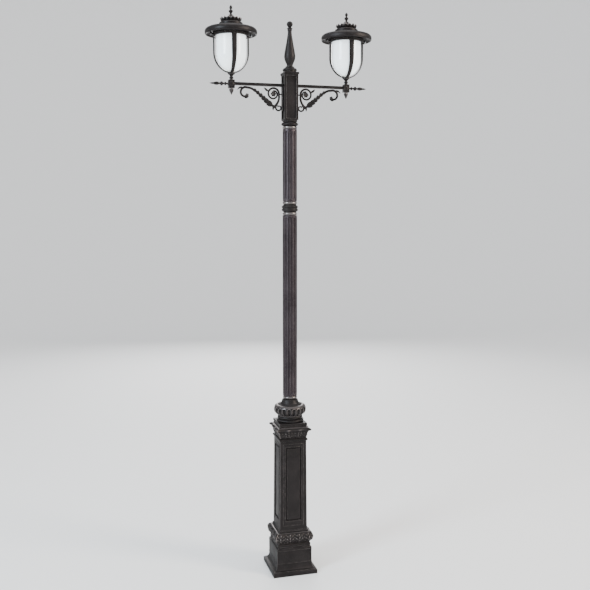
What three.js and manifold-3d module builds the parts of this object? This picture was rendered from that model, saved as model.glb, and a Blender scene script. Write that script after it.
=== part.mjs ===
// Double-arm street lamp post with two bell lanterns.
// Millimetres, +Z up, +X along the right arm, -Y the front. The origin is at ground level on the post's axis.
// Castings are threaded over a steel core tube, and each one rests on the one below with a small fitting gap.

import * as THREE from "three";
import { mergeVertices } from "three/addons/utils/BufferGeometryUtils.js";
import Module from "manifold-3d";

const wasm = await Module();
wasm.setup();

// ---------------------------------------------------------------- driving dimensions

const GAP = 0.3; // fitting gap between pieces that touch

// Square pedestal, given as half-widths and heights above ground.
const SLAB_HALF = 201;
const DIE_HALF = 158.5;
const DIE_TOP = 240;
const PLINTH_TOP = 256;
const BAND_TOP = 380;
const BAND_HALF = 171;
const PEDESTAL_FOOT = 398;
const PEDESTAL_TOP = 1208;
const PEDESTAL_FOOT_HALF = 124;
const PEDESTAL_TOP_HALF = 118;
const PEDESTAL_WALL = 20;
const PANEL_WIDTH = 145;
const PANEL_BOTTOM = 482;
const PANEL_TOP = 1153;
const PANEL_DEPTH = 12;
const CAPITAL_TOP = 1370;
const CREST_HALF = 153;

// Round column, given as radii and heights above ground.
const CORE_RADIUS = 38;
const CORE_WALL = 4;
const CORE_HOLE = 39;
const RINGS_TOP = 1425;
const GADROON_TOP = 1520;
const GADROON_SEAT = 1512;
const GADROON_RADIUS = 142;
const GADROON_LOBES = 20;
const BELL_TOP = 1600;
const LOWER_SHAFT_RADIUS = 63.5;
const LOWER_SHAFT_TOP = 3200;
const MID_COLLAR_TOP = 3321;
const UPPER_SHAFT_RADIUS = 62;
const UPPER_SHAFT_TOP = 3938;
const SHAFT_WALL = 12;
const FLUTES = 16;
const FLUTE_RADIUS = 8.5;
const ASTRAGAL_RADIUS = 64;
const COLLAR_RADIUS = 71;

// Square head that carries the arms, and what stands on it.
const HEAD_BOTTOM = 4015;
const HEAD_TOP = 4397;
const HEAD_HALF = 60.5;
const HEAD_RECESS = 8;
const HEAD_WALL = 6;
const HEAD_FRAME = 19;
const CAP_PLATE_HALF = 67;
const CAP_TOP = 4458;
const SPIRE_RADIUS = 48.5;
const SPIRE_TOP = 4846;
const SPIRE_BALL = 26;

// Arms, end blocks and brackets.
const LANTERN_X = 509;
const ARM_Z = 4307.5;
const ARM_SIZE = 25;
const ARM_WALL = 3;
const BLOCK_SIZE = 50;
const BLOCK_BOTTOM = 4269;
const BLOCK_TOP = 4336;
const PENDANT_TIP = 4213;
const END_FINIAL_LENGTH = 164;
const BRACKET_THICKNESS = 18;

// Lantern, as heights above ground and radii about its own axis.
const CUP_TOP = 4389;
const GLOBE_RADIUS = 126;
const GLOBE_STRAIGHT_FROM = 4548;
const GLOBE_DEPTH = 143;
const GLOBE_TOP = 4710;
const GLOBE_WALL = 4;
const GLOBE_NECK = 36;
const RIB_RADIUS = 152;
const RIB_THICKNESS = 9;
const RIB_STRAIGHT_FROM = 4560;
const GALLERY_BOTTOM = 4694;
const GALLERY_TOP = 4717.7;
const GALLERY_INNER = 127;
const GALLERY_OUTER = 151;
const BRIM_RADIUS = 220;
const BRIM_UNDERSIDE = 4718;
const BRIM_LIP = 4706;
const SHOULDER_RADIUS = 40;
const ROOF_TOP = 4804;
const CROWN_RADIUS = 90;
const CROWN_TOP = 4863;
const CROWN_LOBES = 16;
const LANTERN_TOP = 4948;
const ROOF_PIN_OFFSET = 172;
const ROOF_PIN_Z = 4704;
const EAR_RADIUS = 6;
const THUMBSCREW_TIP = 152;

// Access door in the pedestal's rear panel, in the frame of the rear face:
// x across, y out of the face, z up along it from the middle of the panel.
const DOOR_CLEARANCE = 1;
const DOOR_THICKNESS = 5;
const DOOR_AXIS_X = 79;
const DOOR_AXIS_Y = 5.5;
const BARREL_RADIUS = 4.5;
const HINGE_SPACING = 440;
const LOCK_X = -55;

// Facets round a full turn.
const ROUND_LARGE = 20;
const ROUND_MEDIUM = 16;
const ROUND_SMALL = 8;

// ---------------------------------------------------------------- materials

const material = (color, roughness, metalness) =>
  new THREE.MeshStandardMaterial({ color, roughness, metalness });

const castIron = material(0x2b2829, 0.42, 0.75);
const fluted = material(0x3a3536, 0.5, 0.7);
const steel = material(0x8d8f92, 0.45, 0.9);
const opal = material(0xf4f6f5, 0.25, 0);
const rubber = material(0x151515, 0.9, 0);
const porcelain = material(0xe9e6df, 0.3, 0);
const lampGlass = material(0xfaf4e6, 0.2, 0);
const greyPlastic = material(0x5c6063, 0.6, 0);

// ---------------------------------------------------------------- geometry helpers

// A closed geometry as a solid that can be cut and joined.
function solidOf(geometry) {
  const bare = geometry.index ? geometry.toNonIndexed() : geometry.clone();
  bare.deleteAttribute("normal");
  bare.deleteAttribute("uv");
  const merged = mergeVertices(bare, 1e-3);
  const triVerts = new Uint32Array(merged.index.array);
  const vertProperties = merged.attributes.position.array;
  const made = new wasm.Manifold(new wasm.Mesh({ numProp: 3, vertProperties, triVerts }));
  if (made.volume() > 0) return made;
  for (let i = 0; i < triVerts.length; i += 3) {
    [triVerts[i + 1], triVerts[i + 2]] = [triVerts[i + 2], triVerts[i + 1]];
  }
  return new wasm.Manifold(new wasm.Mesh({ numProp: 3, vertProperties, triVerts }));
}

// A solid as a geometry again, with every face pointing out.
function geometryOf(solid) {
  const mesh = solid.getMesh();
  return new THREE.BufferGeometry()
    .setAttribute("position", new THREE.BufferAttribute(new Float32Array(mesh.vertProperties), 3))
    .setIndex(new THREE.BufferAttribute(new Uint32Array(mesh.triVerts), 1));
}

const faceOut = (geometry) => geometryOf(solidOf(geometry));
const join = (first, ...rest) => geometryOf(rest.reduce((sum, g) => sum.add(solidOf(g)), solidOf(first)));
const cut = (first, ...rest) => geometryOf(rest.reduce((sum, g) => sum.subtract(solidOf(g)), solidOf(first)));
const common = (a, b) => geometryOf(solidOf(a).intersect(solidOf(b)));

// A profile of [radius, height] pairs turned about +Z. It starts and ends on the axis, or closes on itself.
function turned(profile, segments = ROUND_MEDIUM) {
  const points = profile.map(([radius, height]) => new THREE.Vector2(radius, height));
  if (profile[0][0] > 0) points.push(points[0].clone());
  return new THREE.LatheGeometry(points, segments).rotateX(Math.PI / 2);
}

// The same with four sides: the first number of each pair is the half-width across the flats.
function squareTurned(profile) {
  return turned(profile.map(([half, height]) => [half * Math.SQRT2, height]), 4).rotateZ(Math.PI / 4);
}

// A turned profile whose radius swells into lobes, two facets to each lobe.
function lobed(profile, lobes, depth) {
  const geometry = turned(profile, lobes * 2);
  const position = geometry.attributes.position;
  const waist = Math.min(...profile.map(([radius]) => radius));
  for (let i = 0; i < position.count; i++) {
    const x = position.getX(i);
    const y = position.getY(i);
    const radius = Math.hypot(x, y);
    if (radius < waist + 1) continue;
    const valley = Math.sin((lobes * Math.atan2(x, -y)) / 2) ** 2;
    const scale = 1 - depth * valley;
    position.setXY(i, x * scale, y * scale);
  }
  return geometry;
}

const box = (x0, x1, y0, y1, z0, z1) =>
  new THREE.BoxGeometry(x1 - x0, y1 - y0, z1 - z0).translate((x0 + x1) / 2, (y0 + y1) / 2, (z0 + z1) / 2);

const cylinderZ = (radius, z0, z1, segments = ROUND_SMALL) =>
  new THREE.CylinderGeometry(radius, radius, z1 - z0, segments)
    .rotateX(Math.PI / 2)
    .translate(0, 0, (z0 + z1) / 2);

const cylinderX = (radius, x0, x1, segments = ROUND_SMALL) =>
  new THREE.CylinderGeometry(radius, radius, x1 - x0, segments)
    .rotateZ(Math.PI / 2)
    .translate((x0 + x1) / 2, 0, 0);

const cylinderY = (radius, y0, y1, segments = ROUND_SMALL) =>
  new THREE.CylinderGeometry(radius, radius, y1 - y0, segments)
    .translate(0, (y0 + y1) / 2, 0);

// A flat outline in the X-Z plane, given as [x, z] points, as a plate of a given thickness centred on Y = 0.
function plateXZ(points, thickness) {
  const shape = new THREE.Shape(points.map(([x, z]) => new THREE.Vector2(x, z)));
  const geometry = new THREE.ExtrudeGeometry(shape, { depth: thickness, bevelEnabled: false });
  return geometry.translate(0, 0, -thickness / 2).rotateX(Math.PI / 2);
}

// A bar of varying width that follows a line of THREE.Vector2 points in the X-Z plane.
function strokeXZ(line, startWidth, endWidth, thickness) {
  const left = [];
  const right = [];
  line.forEach((point, i) => {
    const before = line[Math.max(i - 1, 0)];
    const after = line[Math.min(i + 1, line.length - 1)];
    const along = after.clone().sub(before).normalize();
    const half = (startWidth + ((endWidth - startWidth) * i) / (line.length - 1)) / 2;
    left.push([point.x - along.y * half, point.y + along.x * half]);
    right.unshift([point.x + along.y * half, point.y - along.x * half]);
  });
  return plateXZ([...left, ...right], thickness);
}

// A spiral about a centre that turns clockwise, and tightens faster towards its end.
function spiral(cx, cz, startDegrees, sweepDegrees, startRadius, endRadius, steps) {
  return Array.from({ length: steps + 1 }, (_, i) => {
    const share = i / steps;
    const angle = THREE.MathUtils.degToRad(startDegrees - sweepDegrees * share);
    const radius = startRadius - (startRadius - endRadius) * share ** 2;
    return new THREE.Vector2(cx + radius * Math.cos(angle), cz + radius * Math.sin(angle));
  });
}

const bezier = (steps, ...corners) =>
  new THREE.CubicBezierCurve(...corners.map(([x, z]) => new THREE.Vector2(x, z))).getPoints(steps);

// Points of a quarter ellipse, as [radius, height] pairs, from its bottom end to where its side is upright.
function bowl(radius, depth, straightFrom, fromRadius, steps) {
  const start = Math.asin(fromRadius / radius);
  return Array.from({ length: steps + 1 }, (_, i) => {
    const angle = start + ((Math.PI / 2 - start) * i) / steps;
    return [radius * Math.sin(angle), straightFrom - depth * Math.cos(angle)];
  });
}

const lampPost = new THREE.Group();

function add(parent, name, geometry, finish) {
  const mesh = new THREE.Mesh(geometry, finish);
  mesh.name = name;
  parent.add(mesh);
  return mesh;
}

// ---------------------------------------------------------------- pedestal

function anchorage() {
  const plateTop = 20;
  const plateHalf = 150;
  const boltOffset = 115;
  const boltCorners = [[-1, -1], [1, -1], [1, 1], [-1, 1]].map((signs) => signs.map((s) => s * boltOffset));
  const boltHoles = boltCorners.map(([x, y]) => cylinderZ(11, -1, plateTop + 1).translate(x, y, 0));
  const cableHole = cylinderZ(30, -1, plateTop + 1, ROUND_MEDIUM);
  const plate = box(-plateHalf, plateHalf, -plateHalf, plateHalf, 0, plateTop);
  add(lampPost, "anchor_plate", cut(plate, cableHole, ...boltHoles), steel);

  const shankRadius = 10;
  const flangeRadius = 20;
  const headRadius = 17;
  boltCorners.forEach(([x, y], i) => {
    const profile = [
      [0, 0.5],
      [shankRadius, 0.5],
      [shankRadius, plateTop + GAP],
      [flangeRadius, plateTop + GAP],
      [flangeRadius, 24],
      [headRadius, 24],
      [headRadius, 35],
      [0, 36],
    ];
    const bolt = add(lampPost, `anchor_bolt_${i + 1}`, faceOut(turned(profile, 6)), steel);
    bolt.position.set(x, y, 0);
  });

  const tube = turned([
    [CORE_RADIUS - CORE_WALL, plateTop + GAP],
    [CORE_RADIUS, plateTop + GAP],
    [CORE_RADIUS, HEAD_TOP - 8],
    [CORE_RADIUS - CORE_WALL, HEAD_TOP - 8],
  ]);
  add(lampPost, "core_tube", faceOut(tube), steel);
}

function plinth() {
  const skirtBottom = 45;
  const skirtTop = 92;
  const skirtHalf = 190.5;
  // The skirt is a hollow curve: steep against the die, and flat at its foot.
  const skirt = bowl(skirtHalf - DIE_HALF, skirtTop - skirtBottom, skirtBottom, 0, 4)
    .reverse()
    .map(([out, height]) => [DIE_HALF + out, 2 * skirtBottom - height]);
  const profile = [
    [SLAB_HALF, 0],
    [SLAB_HALF, 34],
    [SLAB_HALF - 5, 39],
    ...skirt,
    [DIE_HALF, DIE_TOP - 4],
    [DIE_HALF - 3.5, DIE_TOP],
    [149.5, DIE_TOP],
    [149.5, PLINTH_TOP],
    [100, PLINTH_TOP],
    [100, PLINTH_TOP - 10],
    [DIE_HALF - 12, PLINTH_TOP - 28],
    [DIE_HALF - 12, 70],
    [168, 40],
    [168, 0],
  ];
  add(lampPost, "plinth", faceOut(squareTurned(profile)), castIron);
}

function leafBand() {
  const bottom = PLINTH_TOP + GAP;
  const profile = [
    [128, bottom],
    [146, bottom],
    [150, 263],
    [150, 272],
    [142, 280],
    [143, 290],
    [152, 296],
    [161, 312],
    [168, 332],
    [BAND_HALF, 350],
    [167, 364],
    [154, 374],
    [138, BAND_TOP],
    [128, BAND_TOP],
  ];
  add(lampPost, "leaf_band", faceOut(squareTurned(profile)), castIron);
}

// A frame that lies in one outer face of the tapering pedestal: face 0 is the front, then round by the right.
function pedestalFace(turn) {
  const face = new THREE.Group();
  const middle = (PANEL_BOTTOM + PANEL_TOP) / 2;
  const slope = (PEDESTAL_FOOT_HALF - PEDESTAL_TOP_HALF) / (PEDESTAL_TOP - PEDESTAL_FOOT);
  const out = PEDESTAL_FOOT_HALF - slope * (middle - PEDESTAL_FOOT);
  face.position.set(0, out, middle);
  face.rotation.x = Math.atan(slope);
  const holder = new THREE.Group();
  holder.rotation.z = Math.PI + (turn * Math.PI) / 2;
  holder.add(face);
  lampPost.add(holder);
  holder.updateMatrixWorld(true);
  return face;
}

function pedestal(rearFace) {
  const profile = [
    [133, BAND_TOP + GAP],
    [133, 392],
    [PEDESTAL_FOOT_HALF, PEDESTAL_FOOT],
    [PEDESTAL_TOP_HALF, PEDESTAL_TOP],
    [PEDESTAL_TOP_HALF - PEDESTAL_WALL, PEDESTAL_TOP],
    [PEDESTAL_FOOT_HALF - PEDESTAL_WALL, BAND_TOP + GAP],
  ];
  const halfWidth = PANEL_WIDTH / 2;
  const halfHeight = (PANEL_TOP - PANEL_BOTTOM) / 2;
  const recess = box(-halfWidth, halfWidth, -PANEL_DEPTH, 10, -halfHeight, halfHeight);
  const doorway = box(-halfWidth, halfWidth, -PEDESTAL_WALL - 8, 10, -halfHeight, halfHeight);
  const recesses = [0, 1, 3].map((turn) => recess.clone().applyMatrix4(pedestalFace(turn).matrixWorld));
  const cutters = [...recesses, doorway.applyMatrix4(rearFace.matrixWorld)];
  add(lampPost, "pedestal", cut(squareTurned(profile), ...cutters), castIron);
}

function accessDoor(rearFace) {
  const halfWidth = PANEL_WIDTH / 2 - DOOR_CLEARANCE;
  const halfHeight = (PANEL_TOP - PANEL_BOTTOM) / 2 - DOOR_CLEARANCE;
  const innerY = -PANEL_DEPTH - DOOR_THICKNESS;
  const barrelLength = 28;
  const strapInner = 40;
  const pieces = [box(-halfWidth, halfWidth, innerY, -PANEL_DEPTH, -halfHeight, halfHeight)];
  const bores = [cylinderY(10, innerY - 1, -PANEL_DEPTH + 1).translate(LOCK_X, 0, 0)];
  for (const z of [-HINGE_SPACING / 2, HINGE_SPACING / 2]) {
    // A cranked strap climbs from the door's face, over the frame's edge, to the barrel.
    pieces.push(box(strapInner, halfWidth - 1, -PANEL_DEPTH - 1, DOOR_AXIS_Y, z + GAP, z + barrelLength));
    pieces.push(box(halfWidth - 2, DOOR_AXIS_X, DOOR_AXIS_Y - 3, DOOR_AXIS_Y + 2, z + GAP, z + barrelLength));
    pieces.push(cylinderZ(BARREL_RADIUS, z + GAP, z + barrelLength).translate(DOOR_AXIS_X, DOOR_AXIS_Y, 0));
    bores.push(cylinderZ(2.9, z - 1, z + barrelLength - 4).translate(DOOR_AXIS_X, DOOR_AXIS_Y, 0));
  }
  add(rearFace, "access_door", cut(join(...pieces), ...bores), castIron);

  const leafHeight = 22;
  [["lower", -HINGE_SPACING / 2], ["upper", HINGE_SPACING / 2]].forEach(([place, z]) => {
    const leaf = box(DOOR_AXIS_X, DOOR_AXIS_X + 24, GAP, 4, z - leafHeight, z);
    const knuckle = cylinderZ(BARREL_RADIUS, z - leafHeight, z).translate(DOOR_AXIS_X, DOOR_AXIS_Y, 0);
    const pin = cylinderZ(2.5, z - 2, z + 22).translate(DOOR_AXIS_X, DOOR_AXIS_Y, 0);
    add(rearFace, `door_pintle_${place}`, join(leaf, knuckle, pin), castIron);
  });

  // The lock rests unlocked, with its cam hanging. A quarter turn puts the cam behind the frame.
  const camBack = -PEDESTAL_WALL - 5;
  const head = cylinderY(12, -PANEL_DEPTH + GAP, -PANEL_DEPTH + 4);
  const barrel = cylinderY(9, camBack, -PANEL_DEPTH + 1);
  const cam = box(-6, 6, camBack, camBack + 3, -34, 6);
  const keyway = cylinderY(5, -PANEL_DEPTH - 4, -PANEL_DEPTH + 5, 3);
  const lock = cut(join(head, barrel, cam), keyway);
  add(rearFace, "door_lock", lock, steel).position.set(LOCK_X, 0, 0);
}

// Fused cut-out in a moulded box, strapped to the core tube behind the door.
function fuseBox() {
  const back = CORE_RADIUS + GAP;
  const body = box(-42, 42, back + 4, back + 46, 640, 790);
  const foot = box(-14, 14, back, back + 5, 620, 810);
  const cableEntries = [-22, 0, 22].map((x) => cylinderZ(8, 622, 641).translate(x, back + 26, 0));
  add(lampPost, "fuse_box", join(body, foot, ...cableEntries), greyPlastic);
}

function capital() {
  const bottom = PEDESTAL_TOP + GAP;
  const profile = [
    [98, bottom],
    [122, bottom],
    [126, 1214],
    [126, 1226],
    [119, 1233],
    [118, 1250],
    [123, 1272],
    [134, 1294],
    [150, 1310],
    [CREST_HALF, 1318],
    [147, 1325],
    [128, 1330],
    [119, 1342],
    [125, 1349],
    [125, 1366],
    [121, CAPITAL_TOP],
    [60, CAPITAL_TOP],
    [60, CAPITAL_TOP - 12],
    [108, 1340],
    [134, 1318],
    [106, 1280],
    [98, 1262],
  ];
  add(lampPost, "capital", faceOut(squareTurned(profile)), castIron);
}

// ---------------------------------------------------------------- round column

function columnFoot() {
  const rings = [
    [92, CAPITAL_TOP + GAP],
    [118, CAPITAL_TOP + GAP],
    [121.5, 1375],
    [121.5, 1389],
    [118, 1394],
    [108, 1396],
    [110.5, 1401],
    [110.5, 1413],
    [106, 1419],
    [105, RINGS_TOP],
    [92, RINGS_TOP],
  ];
  add(lampPost, "capital_rings", faceOut(turned(rings)), castIron);

  const gadroons = [
    [80, RINGS_TOP + GAP],
    [110, RINGS_TOP + GAP],
    [120, 1434],
    [134, 1452],
    [GADROON_RADIUS - 1, 1474],
    [GADROON_RADIUS, 1490],
    [137, 1506],
    [127, 1516],
    [118, GADROON_TOP],
    [104, GADROON_SEAT],
    [80, GADROON_SEAT],
  ];
  add(lampPost, "gadroon_collar", faceOut(lobed(gadroons, GADROON_LOBES, 0.05)), castIron);

  const bell = [
    [CORE_HOLE, GADROON_SEAT + GAP],
    [98, GADROON_SEAT + GAP],
    [98, 1521],
    [88, 1530],
    [76, 1544],
    [71, 1560],
    [66, 1567],
    [58, 1570],
    [62, 1574],
    [ASTRAGAL_RADIUS, 1585],
    [62, 1596],
    [57, BELL_TOP],
    [CORE_HOLE, BELL_TOP],
  ];
  add(lampPost, "bell_collar", faceOut(turned(bell)), castIron);
}

// A round tube with hollow flutes down its outside, and a flat fillet between each two.
function flutedTube(radius, bottom, top) {
  const pitch = (2 * Math.PI) / FLUTES;
  const halfFlute = 2 * Math.asin(FLUTE_RADIUS / (2 * radius));
  const steps = 4;
  const points = [];
  for (let i = 0; i < FLUTES; i++) {
    const middle = i * pitch;
    const centre = new THREE.Vector2(radius * Math.cos(middle), radius * Math.sin(middle));
    const startAngle = middle - Math.PI / 2 - halfFlute / 2;
    const sweep = Math.PI - halfFlute;
    for (let step = 0; step <= steps; step++) {
      const angle = startAngle - (sweep * step) / steps;
      const offset = new THREE.Vector2(FLUTE_RADIUS * Math.cos(angle), FLUTE_RADIUS * Math.sin(angle));
      points.push(centre.clone().add(offset));
    }
  }
  const depth = top - bottom;
  const outside = new THREE.ExtrudeGeometry(new THREE.Shape(points), { depth, bevelEnabled: false });
  const bore = cylinderZ(radius - SHAFT_WALL, bottom - 1, top + 1, ROUND_MEDIUM);
  return cut(outside.translate(0, 0, bottom), bore);
}

// The rounded edge of one astragal, from its bottom to its top.
const astragal = (bottom, height) => [
  [57, bottom],
  [62, bottom + 0.15 * height],
  [ASTRAGAL_RADIUS, bottom + 0.5 * height],
  [62, bottom + 0.85 * height],
  [57, bottom + height],
];

// The edge of one plain ring of a collar, from its bottom to its top.
const plainRing = (bottom, height) => [
  [68, bottom],
  [COLLAR_RADIUS, bottom + 0.2 * height],
  [COLLAR_RADIUS, bottom + 0.8 * height],
  [68, bottom + height],
];

function column() {
  add(lampPost, "lower_shaft", flutedTube(LOWER_SHAFT_RADIUS, BELL_TOP + GAP, LOWER_SHAFT_TOP), fluted);

  const collar = [
    [CORE_HOLE, LOWER_SHAFT_TOP + GAP],
    ...astragal(LOWER_SHAFT_TOP + GAP, 27),
    ...plainRing(3237, 21),
    [65, 3259.5],
    ...plainRing(3261, 21),
    ...astragal(MID_COLLAR_TOP - 27, 27),
    [CORE_HOLE, MID_COLLAR_TOP],
  ];
  add(lampPost, "mid_collar", faceOut(turned(collar)), castIron);

  add(lampPost, "upper_shaft", flutedTube(UPPER_SHAFT_RADIUS, MID_COLLAR_TOP + GAP, UPPER_SHAFT_TOP), fluted);

  const neck = [
    [CORE_HOLE, UPPER_SHAFT_TOP + GAP],
    ...astragal(UPPER_SHAFT_TOP + GAP, 26),
    [69, 3970],
    [73.5, 3975],
    [73.5, 3988],
    [69, 3993],
    [60, 3998],
    [66, 4004],
    [66, HEAD_BOTTOM - 2],
    [62, HEAD_BOTTOM],
    [CORE_HOLE, HEAD_BOTTOM],
  ];
  add(lampPost, "neck_ring", faceOut(turned(neck)), castIron);
}

// ---------------------------------------------------------------- head

function head() {
  const inner = HEAD_HALF - HEAD_RECESS - HEAD_WALL;
  const tube = squareTurned([
    [inner, HEAD_BOTTOM + GAP],
    [HEAD_HALF, HEAD_BOTTOM + GAP],
    [HEAD_HALF, HEAD_TOP],
    [inner, HEAD_TOP],
  ]);
  const half = HEAD_HALF - HEAD_FRAME;
  const recessFloor = HEAD_HALF - HEAD_RECESS;
  const recess = box(-half, half, recessFloor, HEAD_HALF + 5, HEAD_BOTTOM + 14, HEAD_TOP - 12);
  const recesses = [0, 1, 2, 3].map((turn) => recess.clone().rotateZ((turn * Math.PI) / 2));
  const armHole = ARM_SIZE / 2 + GAP;
  const through = box(-HEAD_HALF - 5, HEAD_HALF + 5, -armHole, armHole, ARM_Z - armHole, ARM_Z + armHole);
  add(lampPost, "head_box", cut(tube, ...recesses, through), castIron);

  const plate = squareTurned([
    [0, HEAD_TOP + GAP],
    [CAP_PLATE_HALF - 4, HEAD_TOP + GAP],
    [CAP_PLATE_HALF, 4401],
    [CAP_PLATE_HALF, 4414],
    [CAP_PLATE_HALF - 4, 4417],
    [0, 4417],
  ]);
  const disc = turned([
    [0, 4416],
    [50, 4416],
    [53, 4424],
    [60, 4427],
    [61.5, 4436],
    [60, 4447],
    [52, 4453],
    [44, CAP_TOP],
    [0, CAP_TOP],
  ]);
  const studHole = cylinderZ(8.6, HEAD_TOP - 5, CAP_TOP + 5);
  add(lampPost, "head_cap", cut(join(plate, disc), studHole), castIron);

  add(lampPost, "spire_stud", cylinderZ(8, HEAD_TOP - 40, CAP_TOP + 40), steel);
}

function spire() {
  const ballCentre = SPIRE_TOP - SPIRE_BALL;
  const ball = [-50, -20, 10, 40, 65].map((degrees) => {
    const angle = THREE.MathUtils.degToRad(degrees);
    return [SPIRE_BALL * Math.cos(angle), ballCentre + SPIRE_BALL * Math.sin(angle)];
  });
  const profile = [
    [0, CAP_TOP + GAP],
    [38, CAP_TOP + GAP],
    [38, 4466],
    [26, 4474],
    [28, 4487],
    [SPIRE_RADIUS - 8, 4520],
    [SPIRE_RADIUS, 4551],
    [SPIRE_RADIUS - 2, 4560],
    [31, 4657],
    [17, 4755],
    [17, 4762],
    [23, 4786],
    [22, 4792],
    [13, 4797],
    ...ball,
    [0, SPIRE_TOP],
  ];
  const studHole = cylinderZ(8.6, CAP_TOP - 5, CAP_TOP + 45);
  add(lampPost, "spire", cut(turned(profile), studHole), castIron);
}

// ---------------------------------------------------------------- arms

// Everything on an arm is made for the right side, and mirrored for the left.
function arm(side) {
  const sign = side === "right" ? 1 : -1;
  const mirrored = (geometry) => (sign > 0 ? geometry : faceOut(geometry.clone().scale(-1, 1, 1)));
  const blockInner = LANTERN_X - BLOCK_SIZE / 2;
  const blockOuter = LANTERN_X + BLOCK_SIZE / 2;

  const half = ARM_SIZE / 2;
  const bore = half - ARM_WALL;
  const bar = box(CORE_RADIUS + 2, blockInner - GAP, -half, half, ARM_Z - half, ARM_Z + half);
  const hollow = box(0, blockInner + 5, -bore, bore, ARM_Z - bore, ARM_Z + bore);
  add(lampPost, `${side}_arm`, mirrored(cut(bar, hollow)), castIron);

  const block = box(blockInner, blockOuter, -BLOCK_SIZE / 2, BLOCK_SIZE / 2, BLOCK_BOTTOM, BLOCK_TOP);
  const wireIn = cylinderX(7, blockInner - 5, LANTERN_X + 7).translate(0, 0, ARM_Z);
  const wireUp = cylinderZ(7, ARM_Z, BLOCK_TOP + 5).translate(LANTERN_X, 0, 0);
  add(lampPost, `${side}_end_block`, mirrored(cut(block, wireIn, wireUp)), castIron);

  const finial = [
    [0, GAP],
    [13, GAP],
    [13, 5],
    [7, 10],
    [7, 17],
    [14, 27],
    [7, 38],
    [9, 44],
    [18, 57],
    [8, 70],
    [9, 78],
    [15, 96],
    [10, 122],
    [4, 150],
    [0, END_FINIAL_LENGTH],
  ];
  const endFinial = turned(finial, ROUND_SMALL).rotateY(Math.PI / 2).translate(blockOuter, 0, ARM_Z - 3);
  add(lampPost, `${side}_end_finial`, mirrored(faceOut(endFinial)), castIron);

  const drop = [
    [0, PENDANT_TIP],
    [6, PENDANT_TIP + 12],
    [18, PENDANT_TIP + 40],
    [20, PENDANT_TIP + 47],
    [12, PENDANT_TIP + 51],
    [14, BLOCK_BOTTOM - GAP],
    [0, BLOCK_BOTTOM - GAP],
  ];
  const pendant = turned(drop, ROUND_SMALL).translate(LANTERN_X, 0, 0);
  add(lampPost, `${side}_pendant`, mirrored(faceOut(pendant)), castIron);

  add(lampPost, `${side}_scroll_bracket`, mirrored(scrollBracket()), castIron);
}

// The bracket is drawn outwards from the head's face and down from the arm's axis.
function scrollBracket() {
  const barWidth = 16;
  const thin = 10;
  const depth = BRACKET_THICKNESS;
  const voluteCentre = [84, -73];
  const curlCentre = [328, -68];
  const footCentre = [38, -188];
  const disc = (cx, cz, radius) => cylinderY(radius, -depth / 2, depth / 2).translate(cx, 0, cz);
  const backPlate = box(-HEAD_RECESS + GAP, 8, -depth / 2, depth / 2, -216, -ARM_SIZE / 2 - GAP);
  const tie = box(6, 33, -depth / 2, depth / 2, -82, -70);
  const tail = bezier(4, [72, -176], [50, -160], [33, -130], [35, -88]);
  const volute = [...tail, ...spiral(...voluteCentre, 195, 430, 50, 27, 16)];
  const stem = bezier(8, [64, -182], [150, -162], [215, -40], [302, -26]);
  const curl = spiral(...curlCentre, 103, 225, 46, 29, 8);
  // Small leaves: one reaches up to the arm, one out to the end block, and one ends the foot of the stem.
  const upperLeaf = bezier(2, [132, -52], [144, -44], [154, -36], [166, -ARM_SIZE / 2 - 4]);
  const outerLeaf = bezier(3, [345, -30], [366, -24], [386, -28], [396, -46]);
  const footLeaf = bezier(3, [66, -176], [80, -180], [88, -190], [88, -204]);
  const pieces = [
    backPlate,
    tie,
    strokeXZ(volute, barWidth, thin, depth),
    strokeXZ([...stem, ...curl], barWidth + 4, thin + 1, depth),
    strokeXZ(spiral(...footCentre, 60, 330, 28, 12, 9), barWidth, thin, depth),
    disc(...voluteCentre, 27),
    disc(curlCentre[0] - 12, curlCentre[1] - 25, 15),
    disc(...footCentre, 13),
    strokeXZ(upperLeaf, barWidth, thin, depth),
    strokeXZ(outerLeaf, barWidth, thin, depth),
    strokeXZ(footLeaf, barWidth, barWidth, depth),
  ];
  return join(...pieces.map((piece) => piece.translate(HEAD_HALF, 0, ARM_Z)));
}

// ---------------------------------------------------------------- lanterns

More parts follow.
